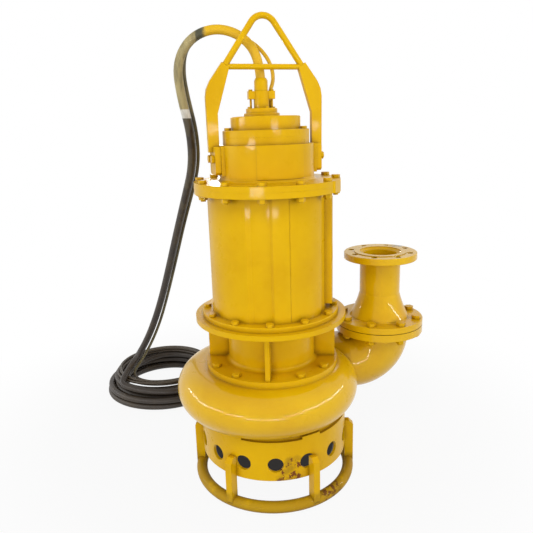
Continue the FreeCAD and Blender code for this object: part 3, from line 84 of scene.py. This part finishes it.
# ---------------------------------------------------------------- settings
class PumpEnamel(bpy.types.PropertyGroup):
    """Colours and texture of the enamel and of what shows where it has gone."""
    colour: FloatVectorProperty(name="Enamel", description="Colour of the yellow enamel", subtype="COLOR",
                                size=3, min=0.0, max=1.0, default=(0.68, 0.40, 0.002))
    deep: FloatVectorProperty(name="Thick enamel", description="Colour where the enamel has pooled",
                              subtype="COLOR", size=3, min=0.0, max=1.0, default=(0.62, 0.345, 0.002))
    pale: FloatVectorProperty(name="Thin enamel", description="Colour where dust and thin paint dull it",
                              subtype="COLOR", size=3, min=0.0, max=1.0, default=(0.72, 0.45, 0.012))
    grime: FloatVectorProperty(name="Grime", description="Colour of the dirt that has settled",
                               subtype="COLOR", size=3, min=0.0, max=1.0, default=(0.14, 0.075, 0.012))
    rust: FloatVectorProperty(name="Rust", description="Colour of rust where the enamel has chipped",
                              subtype="COLOR", size=3, min=0.0, max=1.0, default=(0.17, 0.050, 0.014))
    iron: FloatVectorProperty(name="Bare iron", description="Colour of the unpainted wear parts",
                              subtype="COLOR", size=3, min=0.0, max=1.0, default=(0.10, 0.085, 0.07))
    peel: FloatProperty(name="Orange peel", description="Height of the fine ripple of sprayed enamel",
                        default=0.00012, min=0.0, max=0.002, unit="LENGTH", precision=5)
    casting: FloatProperty(name="Casting skin", description="Height of the sand-cast unevenness",
                           default=0.0009, min=0.0, max=0.005, unit="LENGTH", precision=5)
    edge: FloatProperty(name="Edge radius", description="Radius to which the enamel rounds a sharp edge",
                        default=0.0014, min=0.0, max=0.01, unit="LENGTH", precision=4)


class PumpCables(bpy.types.PropertyGroup):
    """Sizes and colours of the two cables and of their coil."""
    supply_diameter: FloatProperty(name="Supply cable", description="Outside diameter of the supply cable",
                                   default=0.024, min=0.01, max=0.05, unit="LENGTH")
    control_diameter: FloatProperty(name="Control cable",
                                    description="Outside diameter of the control cable", default=0.010,
                                    min=0.004, max=0.02, unit="LENGTH")
    turn_points: IntProperty(name="Points per turn", description="Control points in each turn of the coil",
                             default=14, min=12, max=40)
    sheath: FloatVectorProperty(name="Sheath", description="Colour of the rubber sheath", subtype="COLOR",
                                size=3, min=0.0, max=1.0, default=(0.022, 0.014, 0.008))
    dust: FloatVectorProperty(name="Dried mud", description="Colour of the mud that dulls the sheath",
                              subtype="COLOR", size=3, min=0.0, max=1.0, default=(0.37, 0.30, 0.13))
    olive: FloatVectorProperty(name="Olive sheath", description="Colour of the thin control cable",
                               subtype="COLOR", size=3, min=0.0, max=1.0, default=(0.13, 0.105, 0.035))


class PumpStage(bpy.types.PropertyGroup):
    """The plain floor, the lamps and the camera."""
    floor_colour: FloatVectorProperty(name="Floor", description="Colour of the plain floor", subtype="COLOR",
                                      size=3, min=0.0, max=1.0, default=(0.48, 0.48, 0.48))
    key_power: FloatProperty(name="Key lamp", description="Power of the large soft lamp", default=44.0,
                             min=0.0, unit="POWER")
    fill_power: FloatProperty(name="Fill lamp", description="Power of the lamp on the other side",
                              default=8.0, min=0.0, unit="POWER")
    strip_power: FloatProperty(name="Strip lamps", description="Power of each long narrow lamp",
                               default=24.0, min=0.0, unit="POWER")
    ambient: FloatProperty(name="Ambient", description="Strength of the even light all round", default=0.38,
                           min=0.0, max=2.0)
    lens: FloatProperty(name="Lens", description="Focal length of the camera", default=36.86, min=10.0,
                        max=200.0, unit="CAMERA")


# ---------------------------------------------------------------- shader maths
class Wire:
    """A shader socket that takes part in Python expressions."""

    def __init__(self, finish, socket):
        self.finish = finish
        self.socket = socket

    def maths(self, operation, *values):
        return self.finish.add("ShaderNodeMath", {"operation": operation}, values)

    def __add__(self, other):
        return self.maths("ADD", self, other)

    def __radd__(self, other):
        return self.maths("ADD", other, self)

    def __sub__(self, other):
        return self.maths("SUBTRACT", self, other)

    def __rsub__(self, other):
        return self.maths("SUBTRACT", other, self)

    def __mul__(self, other):
        return self.maths("MULTIPLY", self, other)

    def __rmul__(self, other):
        return self.maths("MULTIPLY", other, self)

    def between(self, low, high):
        """0 below low and 1 above high, with a smooth rise; low may be the larger."""
        return self.finish.add("ShaderNodeMapRange", {"interpolation_type": "SMOOTHSTEP", "clamp": True},
                               (self, low, high, 0.0, 1.0))

    def or_more(self, other):
        return self.maths("MAXIMUM", self, other)

    def or_less(self, other):
        return self.maths("MINIMUM", self, other)


class Nodes:
    """A node tree, emptied and built up again one node at a time."""

    def __init__(self, tree):
        self.tree = tree
        self.tree.nodes.clear()

    def feed(self, socket, value):
        if isinstance(value, Wire):
            self.tree.links.new(value.socket, socket)
        elif isinstance(value, (tuple, list)) and len(value) == 3 and socket.type == "RGBA":
            socket.default_value = (*value, 1.0)
        else:
            socket.default_value = value

    def add(self, kind, settings, values=(), out=0, **named):
        """A node of that kind, set up first and then fed by position and by socket name."""
        node = self.tree.nodes.new(kind)
        for key, value in settings.items():
            if key == "stops":
                while len(node.color_ramp.elements) < len(value):
                    node.color_ramp.elements.new(0.5)
                for element, (position, shade) in zip(node.color_ramp.elements, value):
                    element.position = position
                    element.color = (*shade, 1.0) if len(shade) == 3 else shade
            else:
                setattr(node, key, value)
        for index, value in (values.items() if isinstance(values, dict) else enumerate(values)):
            self.feed(node.inputs[index], value)
        for key, value in named.items():
            self.feed(node.inputs[key.replace("_", " ")], value)
        return None if out is None else Wire(self, node.outputs[out])

    def shown_white(self):
        """1 for the rays that should find a white background, 0 for those that carry its light."""
        rays = [self.add("ShaderNodeLightPath", {}, out=kind)
                for kind in ("Is Camera Ray", "Is Glossy Ray", "Is Transmission Ray")]
        return (rays[0] + rays[1] + rays[2]).or_less(1.0)


class Finish(Nodes):
    """One material, with its principled surface and the nodes that feed it."""

    def __init__(self, name):
        self.material = bpy.data.materials.new(name)
        self.material.use_nodes = True
        super().__init__(self.material.node_tree)
        self.output = self.tree.nodes.new("ShaderNodeOutputMaterial")
        self.surface = self.tree.nodes.new("ShaderNodeBsdfPrincipled")
        self.tree.links.new(self.surface.outputs[0], self.output.inputs["Surface"])
        self.place = self.add("ShaderNodeTexCoord", {}, out="Object")

    def stretched(self, scale, shift=(0.0, 0.0, 0.0)):
        return self.add("ShaderNodeMapping", {}, (self.place,), Scale=scale, Location=shift)

    def noise(self, scale, detail=3.0, roughness=0.55, where=None, distortion=0.0):
        return self.add("ShaderNodeTexNoise", {}, out="Fac", Vector=where or self.place, Scale=scale,
                        Detail=detail, Roughness=roughness, Distortion=distortion)

    def cells(self, scale, where=None):
        return self.add("ShaderNodeTexVoronoi", {"feature": "F1"}, out="Distance",
                        Vector=where or self.place, Scale=scale)

    def axes(self):
        node = self.add("ShaderNodeSeparateXYZ", {}, (self.place,))
        return [Wire(self, node.socket.node.outputs[k]) for k in range(3)]

    def mix(self, factor, first, second, blend="MIX"):
        return self.add("ShaderNodeMix", {"data_type": "RGBA", "blend_type": blend},
                        {0: factor, 6: first, 7: second}, out=2)

    def bump(self, height, strength=1.0, distance=0.001, over=None):
        named = {"Strength": strength, "Distance": distance, "Height": height}
        if over is not None:
            named["Normal"] = over
        return self.add("ShaderNodeBump", {}, **named)

    def rounded(self, radius):
        return self.add("ShaderNodeBevel", {"samples": 4}, Radius=radius)

    def far_from(self, point, scale=(1.0, 1.0, 1.0)):
        """Distance in metres from a point, measured along stretched axes."""
        off = self.add("ShaderNodeVectorMath", {"operation": "SUBTRACT"}, (self.place, point))
        off = self.add("ShaderNodeVectorMath", {"operation": "MULTIPLY"}, (off, scale))
        return self.add("ShaderNodeVectorMath", {"operation": "LENGTH"}, (off,), out="Value")

    def set(self, **named):
        for key, value in named.items():
            self.feed(self.surface.inputs[key.replace("_", " ")], value)
        return self.material


# ---------------------------------------------------------------- finishes
def enamel(name, settings, casting=0.35, gloss=0.10, chips=(), under=None, low=0.0):
    """Thick glossy enamel over a casting. It is chipped to the metal under it within the radius of each
    place in chips, and muddy below the height low."""
    f = Finish(name)
    z = f.axes()[2]
    patch = f.noise(5.5, 4.0, 0.6)
    runs = f.noise(9.0, 4.0, 0.6, where=f.stretched((1.0, 1.0, 0.16)))
    spots = f.noise(60.0, 3.0, 0.6)
    colour = f.mix(patch.between(0.38, 0.68), tuple(settings.colour), tuple(settings.deep))
    colour = f.mix(runs.between(0.52, 0.78) * 0.45, colour, tuple(settings.pale))
    colour = f.mix(spots.between(0.62, 0.74) * 0.22, colour, tuple(settings.deep))
    # Painted shade: the enamel darkens to a deep orange-brown in crevices and recesses, found by ambient
    # occlusion.
    occlusion = f.add("ShaderNodeAmbientOcclusion", {"samples": 6}, out="AO", Distance=0.022)
    painted_crevice_shade = occlusion.between(0.92, 0.40)
    colour = f.mix(painted_crevice_shade * (0.35 + patch * 0.6), colour, (0.20, 0.095, 0.004))
    height = f.noise(230.0, 2.0, 0.5) * (settings.peel * MILLIMETRES)
    skin = f.noise(26.0, 4.0, 0.62) * 0.75 + f.noise(75.0, 3.0, 0.6) * 0.30
    height = height + skin * (settings.casting * MILLIMETRES * casting)
    rough = 0.20 + f.noise(34.0, 3.0, 0.6) * 0.20
    if chips:
        near = [f.far_from(place).between(radius, radius * 0.3) for place, radius in chips]
        area = near[0]
        for other in near[1:]:
            area = area.or_more(other)
        bare = (f.noise(55.0, 6.0, 0.68) * area).between(0.52, 0.56)
        stain = (f.noise(24.0, 5.0, 0.65) * area).between(0.36, 0.62)
        colour = f.mix(stain * 0.5, colour, tuple(settings.grime))
        colour = f.mix(bare, colour, tuple(under or settings.rust))
        rough = rough + bare * 0.40 + stain * 0.18
        height = height - bare * 0.35
    if low > 0.0:
        mud = (f.noise(22.0, 5.0, 0.65) + z.between(low, 0.0) * 0.75).between(0.74, 1.10)
        colour = f.mix(mud * 0.5, colour, tuple(settings.grime))
        rough = rough + mud * 0.22
    normal = f.bump(height, 1.0, 0.001, over=f.rounded(settings.edge))
    return f.set(Base_Color=colour, Roughness=rough, Normal=normal, Specular_IOR_Level=0.16,
                 Specular_Tint=(1.0, 0.75, 0.2), Coat_Weight=gloss, Coat_Roughness=0.05, Coat_IOR=1.5)


def worn_iron(name, settings):
    """Unpainted wear iron with a wet dark skin and rust in its pits."""
    f = Finish(name)
    pits = f.noise(48.0, 6.0, 0.66)
    rusty = f.noise(13.0, 5.0, 0.62).between(0.42, 0.66)
    colour = f.mix(rusty, tuple(settings.iron), tuple(settings.rust))
    colour = f.mix(pits.between(0.60, 0.72) * 0.6, colour, tuple(settings.grime))
    return f.set(Base_Color=colour, Metallic=0.35, Roughness=0.42 + rusty * 0.35,
                 Normal=f.bump(pits, 0.6, 0.0012, over=f.rounded(0.0012)))


def machined(name, tint, lines=900.0, rough=0.24):
    """Turned or ground steel with its fine tool marks and a trace of oil."""
    f = Finish(name)
    marks = f.noise(lines, 2.0, 0.5, where=f.stretched((0.05, 0.05, 1.0)))
    film = f.noise(18.0, 4.0, 0.6)
    colour = f.mix(film.between(0.42, 0.70), tint, tuple(c * 0.72 for c in tint))
    return f.set(Base_Color=colour, Metallic=1.0, Roughness=rough + marks * 0.16,
                 Normal=f.bump(marks, 0.35, 0.0002, over=f.rounded(0.0006)))


def laminations(name):
    """Stacked sheets seen at their edges."""
    f = Finish(name)
    sheets = f.noise(1500.0, 1.0, 0.4, where=f.stretched((0.002, 0.002, 1.0)))
    film = f.noise(24.0, 4.0, 0.6)
    colour = f.mix(sheets.between(0.35, 0.65), (0.060, 0.062, 0.068), (0.16, 0.165, 0.175))
    colour = f.mix(film.between(0.5, 0.75) * 0.5, colour, (0.09, 0.05, 0.025))
    return f.set(Base_Color=colour, Metallic=0.8, Roughness=0.38 + film * 0.2,
                 Normal=f.bump(sheets, 0.5, 0.0003))


def varnished_copper(name):
    f = Finish(name)
    strands = f.noise(420.0, 2.0, 0.5, where=f.stretched((1.0, 1.0, 0.12)))
    drips = f.noise(30.0, 4.0, 0.6)
    colour = f.mix(strands.between(0.35, 0.7), (0.30, 0.085, 0.022), (0.12, 0.030, 0.010))
    colour = f.mix(drips.between(0.5, 0.7) * 0.6, colour, (0.10, 0.022, 0.008))
    return f.set(Base_Color=colour, Roughness=0.28 + drips * 0.15, Coat_Weight=0.6, Coat_Roughness=0.1,
                 Normal=f.bump(strands, 0.6, 0.0006))


def ceramic(name):
    f = Finish(name)
    grain = f.noise(700.0, 2.0, 0.5)
    return f.set(Base_Color=f.mix(grain, (0.010, 0.011, 0.013), (0.030, 0.032, 0.036)),
                 Roughness=0.10 + grain * 0.10, Normal=f.bump(grain, 0.2, 0.0001))


def moulded_rubber(name):
    f = Finish(name)
    bloom = f.noise(26.0, 5.0, 0.6)
    pores = f.noise(500.0, 2.0, 0.5)
    colour = f.mix(bloom.between(0.45, 0.75) * 0.6, (0.018, 0.017, 0.016), (0.075, 0.070, 0.062))
    return f.set(Base_Color=colour, Roughness=0.55 + bloom * 0.2, Normal=f.bump(pores, 0.4, 0.0003))


def moulded_board(name):
    f = Finish(name)
    fleck = f.cells(240.0)
    colour = f.mix(fleck.between(0.2, 0.7), (0.16, 0.035, 0.015), (0.09, 0.020, 0.010))
    return f.set(Base_Color=colour, Roughness=0.36 + fleck * 0.2, Normal=f.bump(fleck, 0.2, 0.0003))


def supply_sheath(name, cables, paint):
    """Rubber sheath: sprayed with enamel near the gland, mud-grey on the upper fall, dark below."""
    f = Finish(name)
    x, y, z = f.axes()
    bloom = f.noise(16.0, 5.0, 0.62)
    streak = f.noise(60.0, 4.0, 0.6, where=f.stretched((1.0, 1.0, 0.22)))
    scuff = f.noise(150.0, 4.0, 0.6)
    dark = f.mix(bloom.between(0.42, 0.72) * 0.55, tuple(cables.sheath), (0.060, 0.042, 0.022))
    muddy = f.mix(streak.between(0.40, 0.66), tuple(cables.dust), (0.22, 0.18, 0.08))
    high = (z + bloom * 0.03).between(1.040, 1.052)
    rubbed = (z + bloom * 0.5).between(0.62, 1.10) * streak.between(0.44, 0.60) * 0.16
    colour = f.mix(high.or_more(rubbed), dark, muddy)
    arch = z.between(1.10, 1.14)
    sooty = (x + bloom * 0.01).between(-0.138, -0.144) * (x + bloom * 0.01).between(-0.168, -0.162) * arch
    colour = f.mix(sooty * 0.85, colour, (0.020, 0.026, 0.014))
    sprayed = (x + bloom * 0.02).between(-0.144, -0.130) * arch.or_more(z.between(1.0, 1.05)) * (
        y.between(0.10, 0.06))
    colour = f.mix(sprayed, colour, tuple(paint.colour))
    tape = z.between(1.014, 1.017) * z.between(1.040, 1.037)
    colour = f.mix(tape, colour, f.mix(streak.between(0.4, 0.7), (0.66, 0.64, 0.58), (0.46, 0.43, 0.36)))
    rough = 0.36 + bloom * 0.22 + high * 0.12
    height = scuff * 0.25 + f.noise(40.0, 3.0, 0.5) * 0.5
    return f.set(Base_Color=colour, Roughness=rough, Normal=f.bump(height, 0.7, 0.0008))


def control_sheath(name, cables, paint):
    f = Finish(name)
    x, y, z = f.axes()
    bloom = f.noise(18.0, 5.0, 0.62)
    colour = f.mix(bloom.between(0.40, 0.70), tuple(cables.olive), (0.050, 0.040, 0.018))
    colour = f.mix(z.between(0.106, 0.096), colour, (0.040, 0.026, 0.012))
    sprayed = (x + bloom * 0.03).between(-0.060, -0.030) * z.between(0.95, 1.0)
    colour = f.mix(sprayed, colour, tuple(paint.colour))
    return f.set(Base_Color=colour, Roughness=0.34 + bloom * 0.2,
                 Normal=f.bump(f.noise(180.0, 3.0, 0.5), 0.5, 0.0006))


# ---------------------------------------------------------------- making pieces
def new_object(name, mesh_or_curve):
    made = bpy.data.objects.new(name, mesh_or_curve)
    bpy.context.scene.collection.objects.link(made)
    return made


def mesh_piece(name, bm, material, smooth=True):
    """Object at the origin from a bmesh, which is freed."""
    mesh = bpy.data.meshes.new(name)
    for face in bm.faces:
        face.smooth = smooth
    bm.to_mesh(mesh)
    bm.free()
    mesh.materials.append(material)
    return new_object(name, mesh)


def cord_curve(name, points, radius, material):
    """One open smooth spline with those control points, swept to a round cord."""
    curve = bpy.data.curves.new(name, "CURVE")
    curve.dimensions = "3D"
    curve.bevel_depth = radius
    curve.bevel_resolution = 5
    curve.resolution_u = 8
    curve.use_fill_caps = True
    spline = curve.splines.new("NURBS")
    spline.points.add(len(points) - 1)
    for point, place in zip(spline.points, points):
        point.co = (*place, 1.0)
    spline.order_u = 3
    spline.use_endpoint_u = True
    curve.materials.append(material)
    return new_object(name, curve)


def curve_length(curve_object):
    """Length of the line of a curve, measured on its own evaluated spline."""
    bare = curve_object.data.copy()
    bare.bevel_depth = 0.0
    probe = bpy.data.objects.new("probe", bare)
    mesh = bpy.data.meshes.new_from_object(probe)
    total = sum((mesh.vertices[a].co - mesh.vertices[b].co).length for a, b in
                (edge.vertices for edge in mesh.edges))
    bpy.data.objects.remove(probe)
    bpy.data.meshes.remove(mesh)
    bpy.data.curves.remove(bare)
    return total


def ramp(value, knots):
    """Piecewise linear value between (at, value) knots."""
    for (at, first), (then, second) in zip(knots, knots[1:]):
        if value <= then:
            return first + (second - first) * max(0.0, (value - at) / (then - at))
    return knots[-1][1]


def coil_point(azimuth, radius, height):
    """Point of a loose turn: the turns share one slightly uneven round."""
    a = math.radians(azimuth)
    uneven = 1.0 + 0.018 * math.cos(2 * a + 0.7) + 0.012 * math.cos(3 * a + 2.0)
    return (COIL_CENTRE[0] + radius * uneven * math.cos(a), COIL_CENTRE[1] + radius * uneven * math.sin(a),
            height)


def dress(names, material):
    for name in names:
        mesh = NODES[name].data
        mesh.materials.clear()
        mesh.materials.append(material)


# ---------------------------------------------------------------- operators
class PUMP_OT_stage(bpy.types.Operator):
    """Lay the floor, hang the lamps and set up the camera"""
    bl_idname = "pump.stage"
    bl_label = "Stage"

    def lamp(self, name, place, aim, size, power, tint=(1.0, 1.0, 1.0)):
        light = bpy.data.lights.new(name, "AREA")
        light.shape = "RECTANGLE"
        light.size, light.size_y = size
        light.energy = power
        light.color = tint
        made = new_object(name, light)
        made.visible_camera = False
        made.visible_glossy = name not in ("key", "fill")
        way = (Vector(aim) - Vector(place)).to_track_quat("-Z", "Y")
        made.matrix_world = Matrix.Translation(place) @ way.to_matrix().to_4x4()

    def floor(self, settings):
        """White all round, with the shadow of the pump, and a painted shadow: a near-black disc painted on
        the floor under the strainer.
        """
        f = Finish("stage_floor")
        f.tree.nodes.remove(f.surface)
        white = f.add("ShaderNodeEmission", {}, Color=(1.0, 1.0, 1.0), Strength=1.0)
        reach = f.far_from((-0.05, 0.25, 0.0)).between(0.5, 1.3)
        # Painted shadow: inside this disc under the strainer the floor turns near-black and hardly shows
        # white to the camera.
        outside_painted_shadow = f.far_from((0.0, 0.12, 0.0)).between(0.185, 0.21)
        matt = f.add("ShaderNodeBsdfDiffuse", {},
                     Color=f.mix(outside_painted_shadow, (0.022, 0.014, 0.008), tuple(settings.floor_colour)))
        share = f.shown_white() * (reach * 0.08 + 0.92) * (outside_painted_shadow * 0.97 + 0.03)
        blend = f.add("ShaderNodeMixShader", {}, (share, matt, white))
        f.tree.links.new(blend.socket, f.output.inputs["Surface"])
        bm = bmesh.new()
        bmesh.ops.create_grid(bm, x_segments=4, y_segments=4, size=14.0)
        ground = mesh_piece("stage_floor", bm, f.material, smooth=False)

    def sky(self, scene, ambient):
        world = bpy.data.worlds.new("studio")
        world.use_nodes = True
        scene.world = world
        w = Nodes(world.node_tree)
        level = ambient + (1.0 - ambient) * w.shown_white()
        shade = w.add("ShaderNodeBackground", {}, Color=(1.0, 1.0, 1.0), Strength=level)
        w.add("ShaderNodeOutputWorld", {}, Surface=shade, out=None)

    def execute(self, context):
        scene = context.scene
        settings = scene.pump_stage
        scene.view_settings.view_transform = "Standard"
        data = bpy.data.cameras.new("camera")
        data.lens = settings.lens
        data.sensor_width = 36.0
        camera = new_object("camera", data)
        turn = (Matrix.Rotation(math.radians(CAMERA_TURN), 4, "Z")
                @ Matrix.Rotation(math.radians(90.0 - CAMERA_DROP), 4, "X")
                @ Matrix.Rotation(math.radians(CAMERA_ROLL), 4, "Z"))
        camera.matrix_world = Matrix.Translation(CAMERA_PLACE) @ turn
        scene.camera = camera
        self.floor(settings)
        self.sky(scene, settings.ambient)
        self.lamp("key", (-0.7, -2.2, 3.3), (0.0, 0.0, 0.7), (1.4, 1.4), settings.key_power)
        self.lamp("fill", (1.9, -1.2, 1.7), (0.0, 0.0, 0.6), (1.2, 1.6), settings.fill_power)
        self.lamp("back", (0.5, 2.2, 2.2), (0.0, 0.0, 0.7), (1.6, 1.2), settings.fill_power)
        self.lamp("back_spot", (-0.5, 4.97, 1.4), (0.0, 0.0, 0.85), (0.30, 0.20), settings.fill_power)
        for azimuth, elevation in STRIP_LAMPS:
            a = math.radians(azimuth)
            e = math.radians(elevation)
            place = (STRIP_REACH * math.cos(e) * math.sin(a), -STRIP_REACH * math.cos(e) * math.cos(a),
                     STRIP_REACH * math.sin(e) + 0.3)
            self.lamp("strip", place, (0.0, 0.0, 0.3), (1.9, 0.10), settings.strip_power)
        return {"FINISHED"}


class PUMP_OT_enamelled(bpy.types.Operator):
    """Paint the castings, the welded steelwork and their bolts"""
    bl_idname = "pump.enamelled"
    bl_label = "Enamelled castings and steelwork"

    def execute(self, context):
        paint = context.scene.pump_enamel
        cast = enamel("cast_enamel", paint, casting=0.55)
        rough_cast = enamel("rough_cast_enamel", paint, casting=1.0, gloss=0.50)
        outlet = enamel("outlet_enamel", paint, casting=0.7, gloss=0.40,
                        chips=(((0.405, 0.235, 0.611), 0.055),), under=(0.42, 0.40, 0.36))
        turned = enamel("smooth_enamel", paint, casting=0.16)
        steel = enamel("steel_enamel", paint, casting=0.22)
        foot = enamel("foot_enamel", paint, casting=0.35, low=0.10,
                      chips=(((0.050, -0.203, 0.130), 0.055), ((0.040, -0.205, 0.092), 0.075),
                             ((0.150, -0.160, 0.030), 0.090)))
        fixings = enamel("fixing_enamel", paint, casting=0.10)
        dress(["motor_housing"], turned)
        dress(["bearing_bracket", "upper_bearing_housing", "cover_ring", "terminal_cover"], cast)
        dress(["volute_casing", "discharge_elbow"], rough_cast)
        dress(["discharge_reducer"], outlet)
        dress(["gland_base", "gland_body", "gland_clamp", "control_gland"], cast)
        dress(["bail_legs", "bail_rod", "bail_crossbar", "bail_pads"], steel)
        dress(["base_ring", "base_legs", "strainer_skirt"], foot)
        dress(["bail_bolts", "bracket_bolts", "cover_bolts", "discharge_bolts", "gland_bolts",
               "gland_clamp_bolts", "head_bolts", "motor_bolts", "oil_plugs"], fixings)
        return {"FINISHED"}


class PUMP_OT_inner_works(bpy.types.Operator):
    """Give the wear parts, the shaft, the bearings and the motor windings their metals"""
    bl_idname = "pump.inner_works"
    bl_label = "Wear parts and inner works"

    def execute(self, context):
        paint = context.scene.pump_enamel
        dress(["impeller", "agitator", "back_wear_plate", "suction_cover", "suction_cover_bolts"],
              worn_iron("worn_iron", paint))
        steel = machined("ground_steel", (0.56, 0.57, 0.58))
        dress(["shaft", "impeller_key", "seal_collar", "seal_cover", "seal_bellows", "lower_bearing_cap",
               "upper_bearing_cap"], steel)
        race = machined("bearing_steel", (0.62, 0.63, 0.65), lines=1400.0, rough=0.12)
        for end in ("lower", "upper"):
            dress([end + "_bearing_" + piece for piece in ("inner_ring", "outer_ring", "balls")], race)
        brass = machined("cage_brass", (0.62, 0.42, 0.16), rough=0.28)
        dress(["lower_bearing_cage", "upper_bearing_cage"], brass)
        dress(["rotor_core", "stator_core"], laminations("laminations"))
        dress(["stator_windings"], varnished_copper("varnished_copper"))
        dress(["seal_seat", "seal_face_ring"], ceramic("seal_carbide"))
        dress(["gland_grommet", "discharge_gasket"], moulded_rubber("moulded_rubber"))
        dress(["terminal_board"], moulded_board("moulded_board"))
        return {"FINISHED"}


class PUMP_OT_supply_cable(bpy.types.Operator):
    """Hang the supply cable from the gland and wind the rest of it into the coil"""
    bl_idname = "pump.supply_cable"
    bl_label = "Supply cable"

    def execute(self, context):
        cables = context.scene.pump_cables
        sheath = supply_sheath("supply_sheath", cables, context.scene.pump_enamel)
        points = list(SUPPLY_ROUTE)
        step = 360.0 / cables.turn_points
        radius_by_turn = ((0.0, 0.205), (1.65, 0.165), (1.85, 0.157), (4.35, 0.219), (4.6, 0.219),
                          (SUPPLY_TURNS, 0.156))
        height_by_turn = ((0.0, 0.080), (0.16, 0.0640), (1.65, 0.0640), (1.85, 0.0385), (4.35, 0.0385),
                          (4.6, 0.0125), (SUPPLY_TURNS, 0.0125))
        for k in range(int(SUPPLY_TURNS * cables.turn_points)):
            turn = k / cables.turn_points
            points.append(coil_point(SUPPLY_LANDING + step * k, ramp(turn, radius_by_turn),
                                     ramp(turn, height_by_turn)))
        cable = cord_curve("supply_cable", points, cables.supply_diameter / 2, sheath)
        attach(cable, CASING_BODY)
        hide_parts("power_cable", "cable_coil")
        round(curve_length(cable), 3)
        dress(["cable_tail"], sheath)
        return {"FINISHED"}


class PUMP_OT_control_cable(bpy.types.Operator):
    """Lead the thin control cable beside the supply cable and down into the coil"""
    bl_idname = "pump.control_cable"
    bl_label = "Control cable"

    def execute(self, context):
        cables = context.scene.pump_cables
        sheath = control_sheath("control_sheath", cables, context.scene.pump_enamel)
        points = list(CONTROL_ROUTE)
        step = 360.0 / cables.turn_points
        for k in range(int(CONTROL_TURNS * cables.turn_points)):
            turn = k / cables.turn_points
            height = ramp(turn, ((0.0, 0.090), (0.15, 0.0825), (1.9, 0.0825), (2.1, 0.0935),
                                 (CONTROL_TURNS, 0.0935)))
            radius = ramp(turn, ((0.0, 0.152), (0.15, 0.158), (1.9, 0.180), (2.1, 0.180),
                                 (CONTROL_TURNS, 0.159)))
            points.append(coil_point(CONTROL_LANDING + step * k, radius, height))
        cable = cord_curve("control_cable_line", points, cables.control_diameter / 2, sheath)
        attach(cable, CASING_BODY)
        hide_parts("control_cable")
        round(curve_length(cable), 3)
        return {"FINISHED"}


class PUMP_PT_panel(bpy.types.Panel):
    """Sidebar list of the pump's steps and settings"""
    bl_idname = "PUMP_PT_panel"
    bl_label = "Slurry Pump"
    bl_space_type = "VIEW_3D"
    bl_region_type = "UI"
    bl_category = "Slurry Pump"

    def draw(self, context):
        for step in STEPS:
            self.layout.operator(step.bl_idname)
        for name in ("pump_enamel", "pump_cables", "pump_stage"):
            group = getattr(context.scene, name)
            box = self.layout.box()
            for key in group.bl_rna.properties.keys():
                if key not in ("rna_type", "name"):
                    box.prop(group, key)


STEPS = (PUMP_OT_stage, PUMP_OT_supply_cable, PUMP_OT_control_cable, PUMP_OT_enamelled, PUMP_OT_inner_works)
CLASSES = (PumpEnamel, PumpCables, PumpStage) + STEPS + (PUMP_PT_panel,)


def register():
    for cls in CLASSES:
        bpy.utils.register_class(cls)
    bpy.types.Scene.pump_enamel = PointerProperty(type=PumpEnamel)
    bpy.types.Scene.pump_cables = PointerProperty(type=PumpCables)
    bpy.types.Scene.pump_stage = PointerProperty(type=PumpStage)


def unregister():
    del bpy.types.Scene.pump_stage
    del bpy.types.Scene.pump_cables
    del bpy.types.Scene.pump_enamel
    for cls in reversed(CLASSES):
        bpy.utils.unregister_class(cls)


def main():
    register()
    for step in STEPS:
        group, name = step.bl_idname.split(".")
        getattr(getattr(bpy.ops, group), name)()


if __name__ == "__main__":
    main()
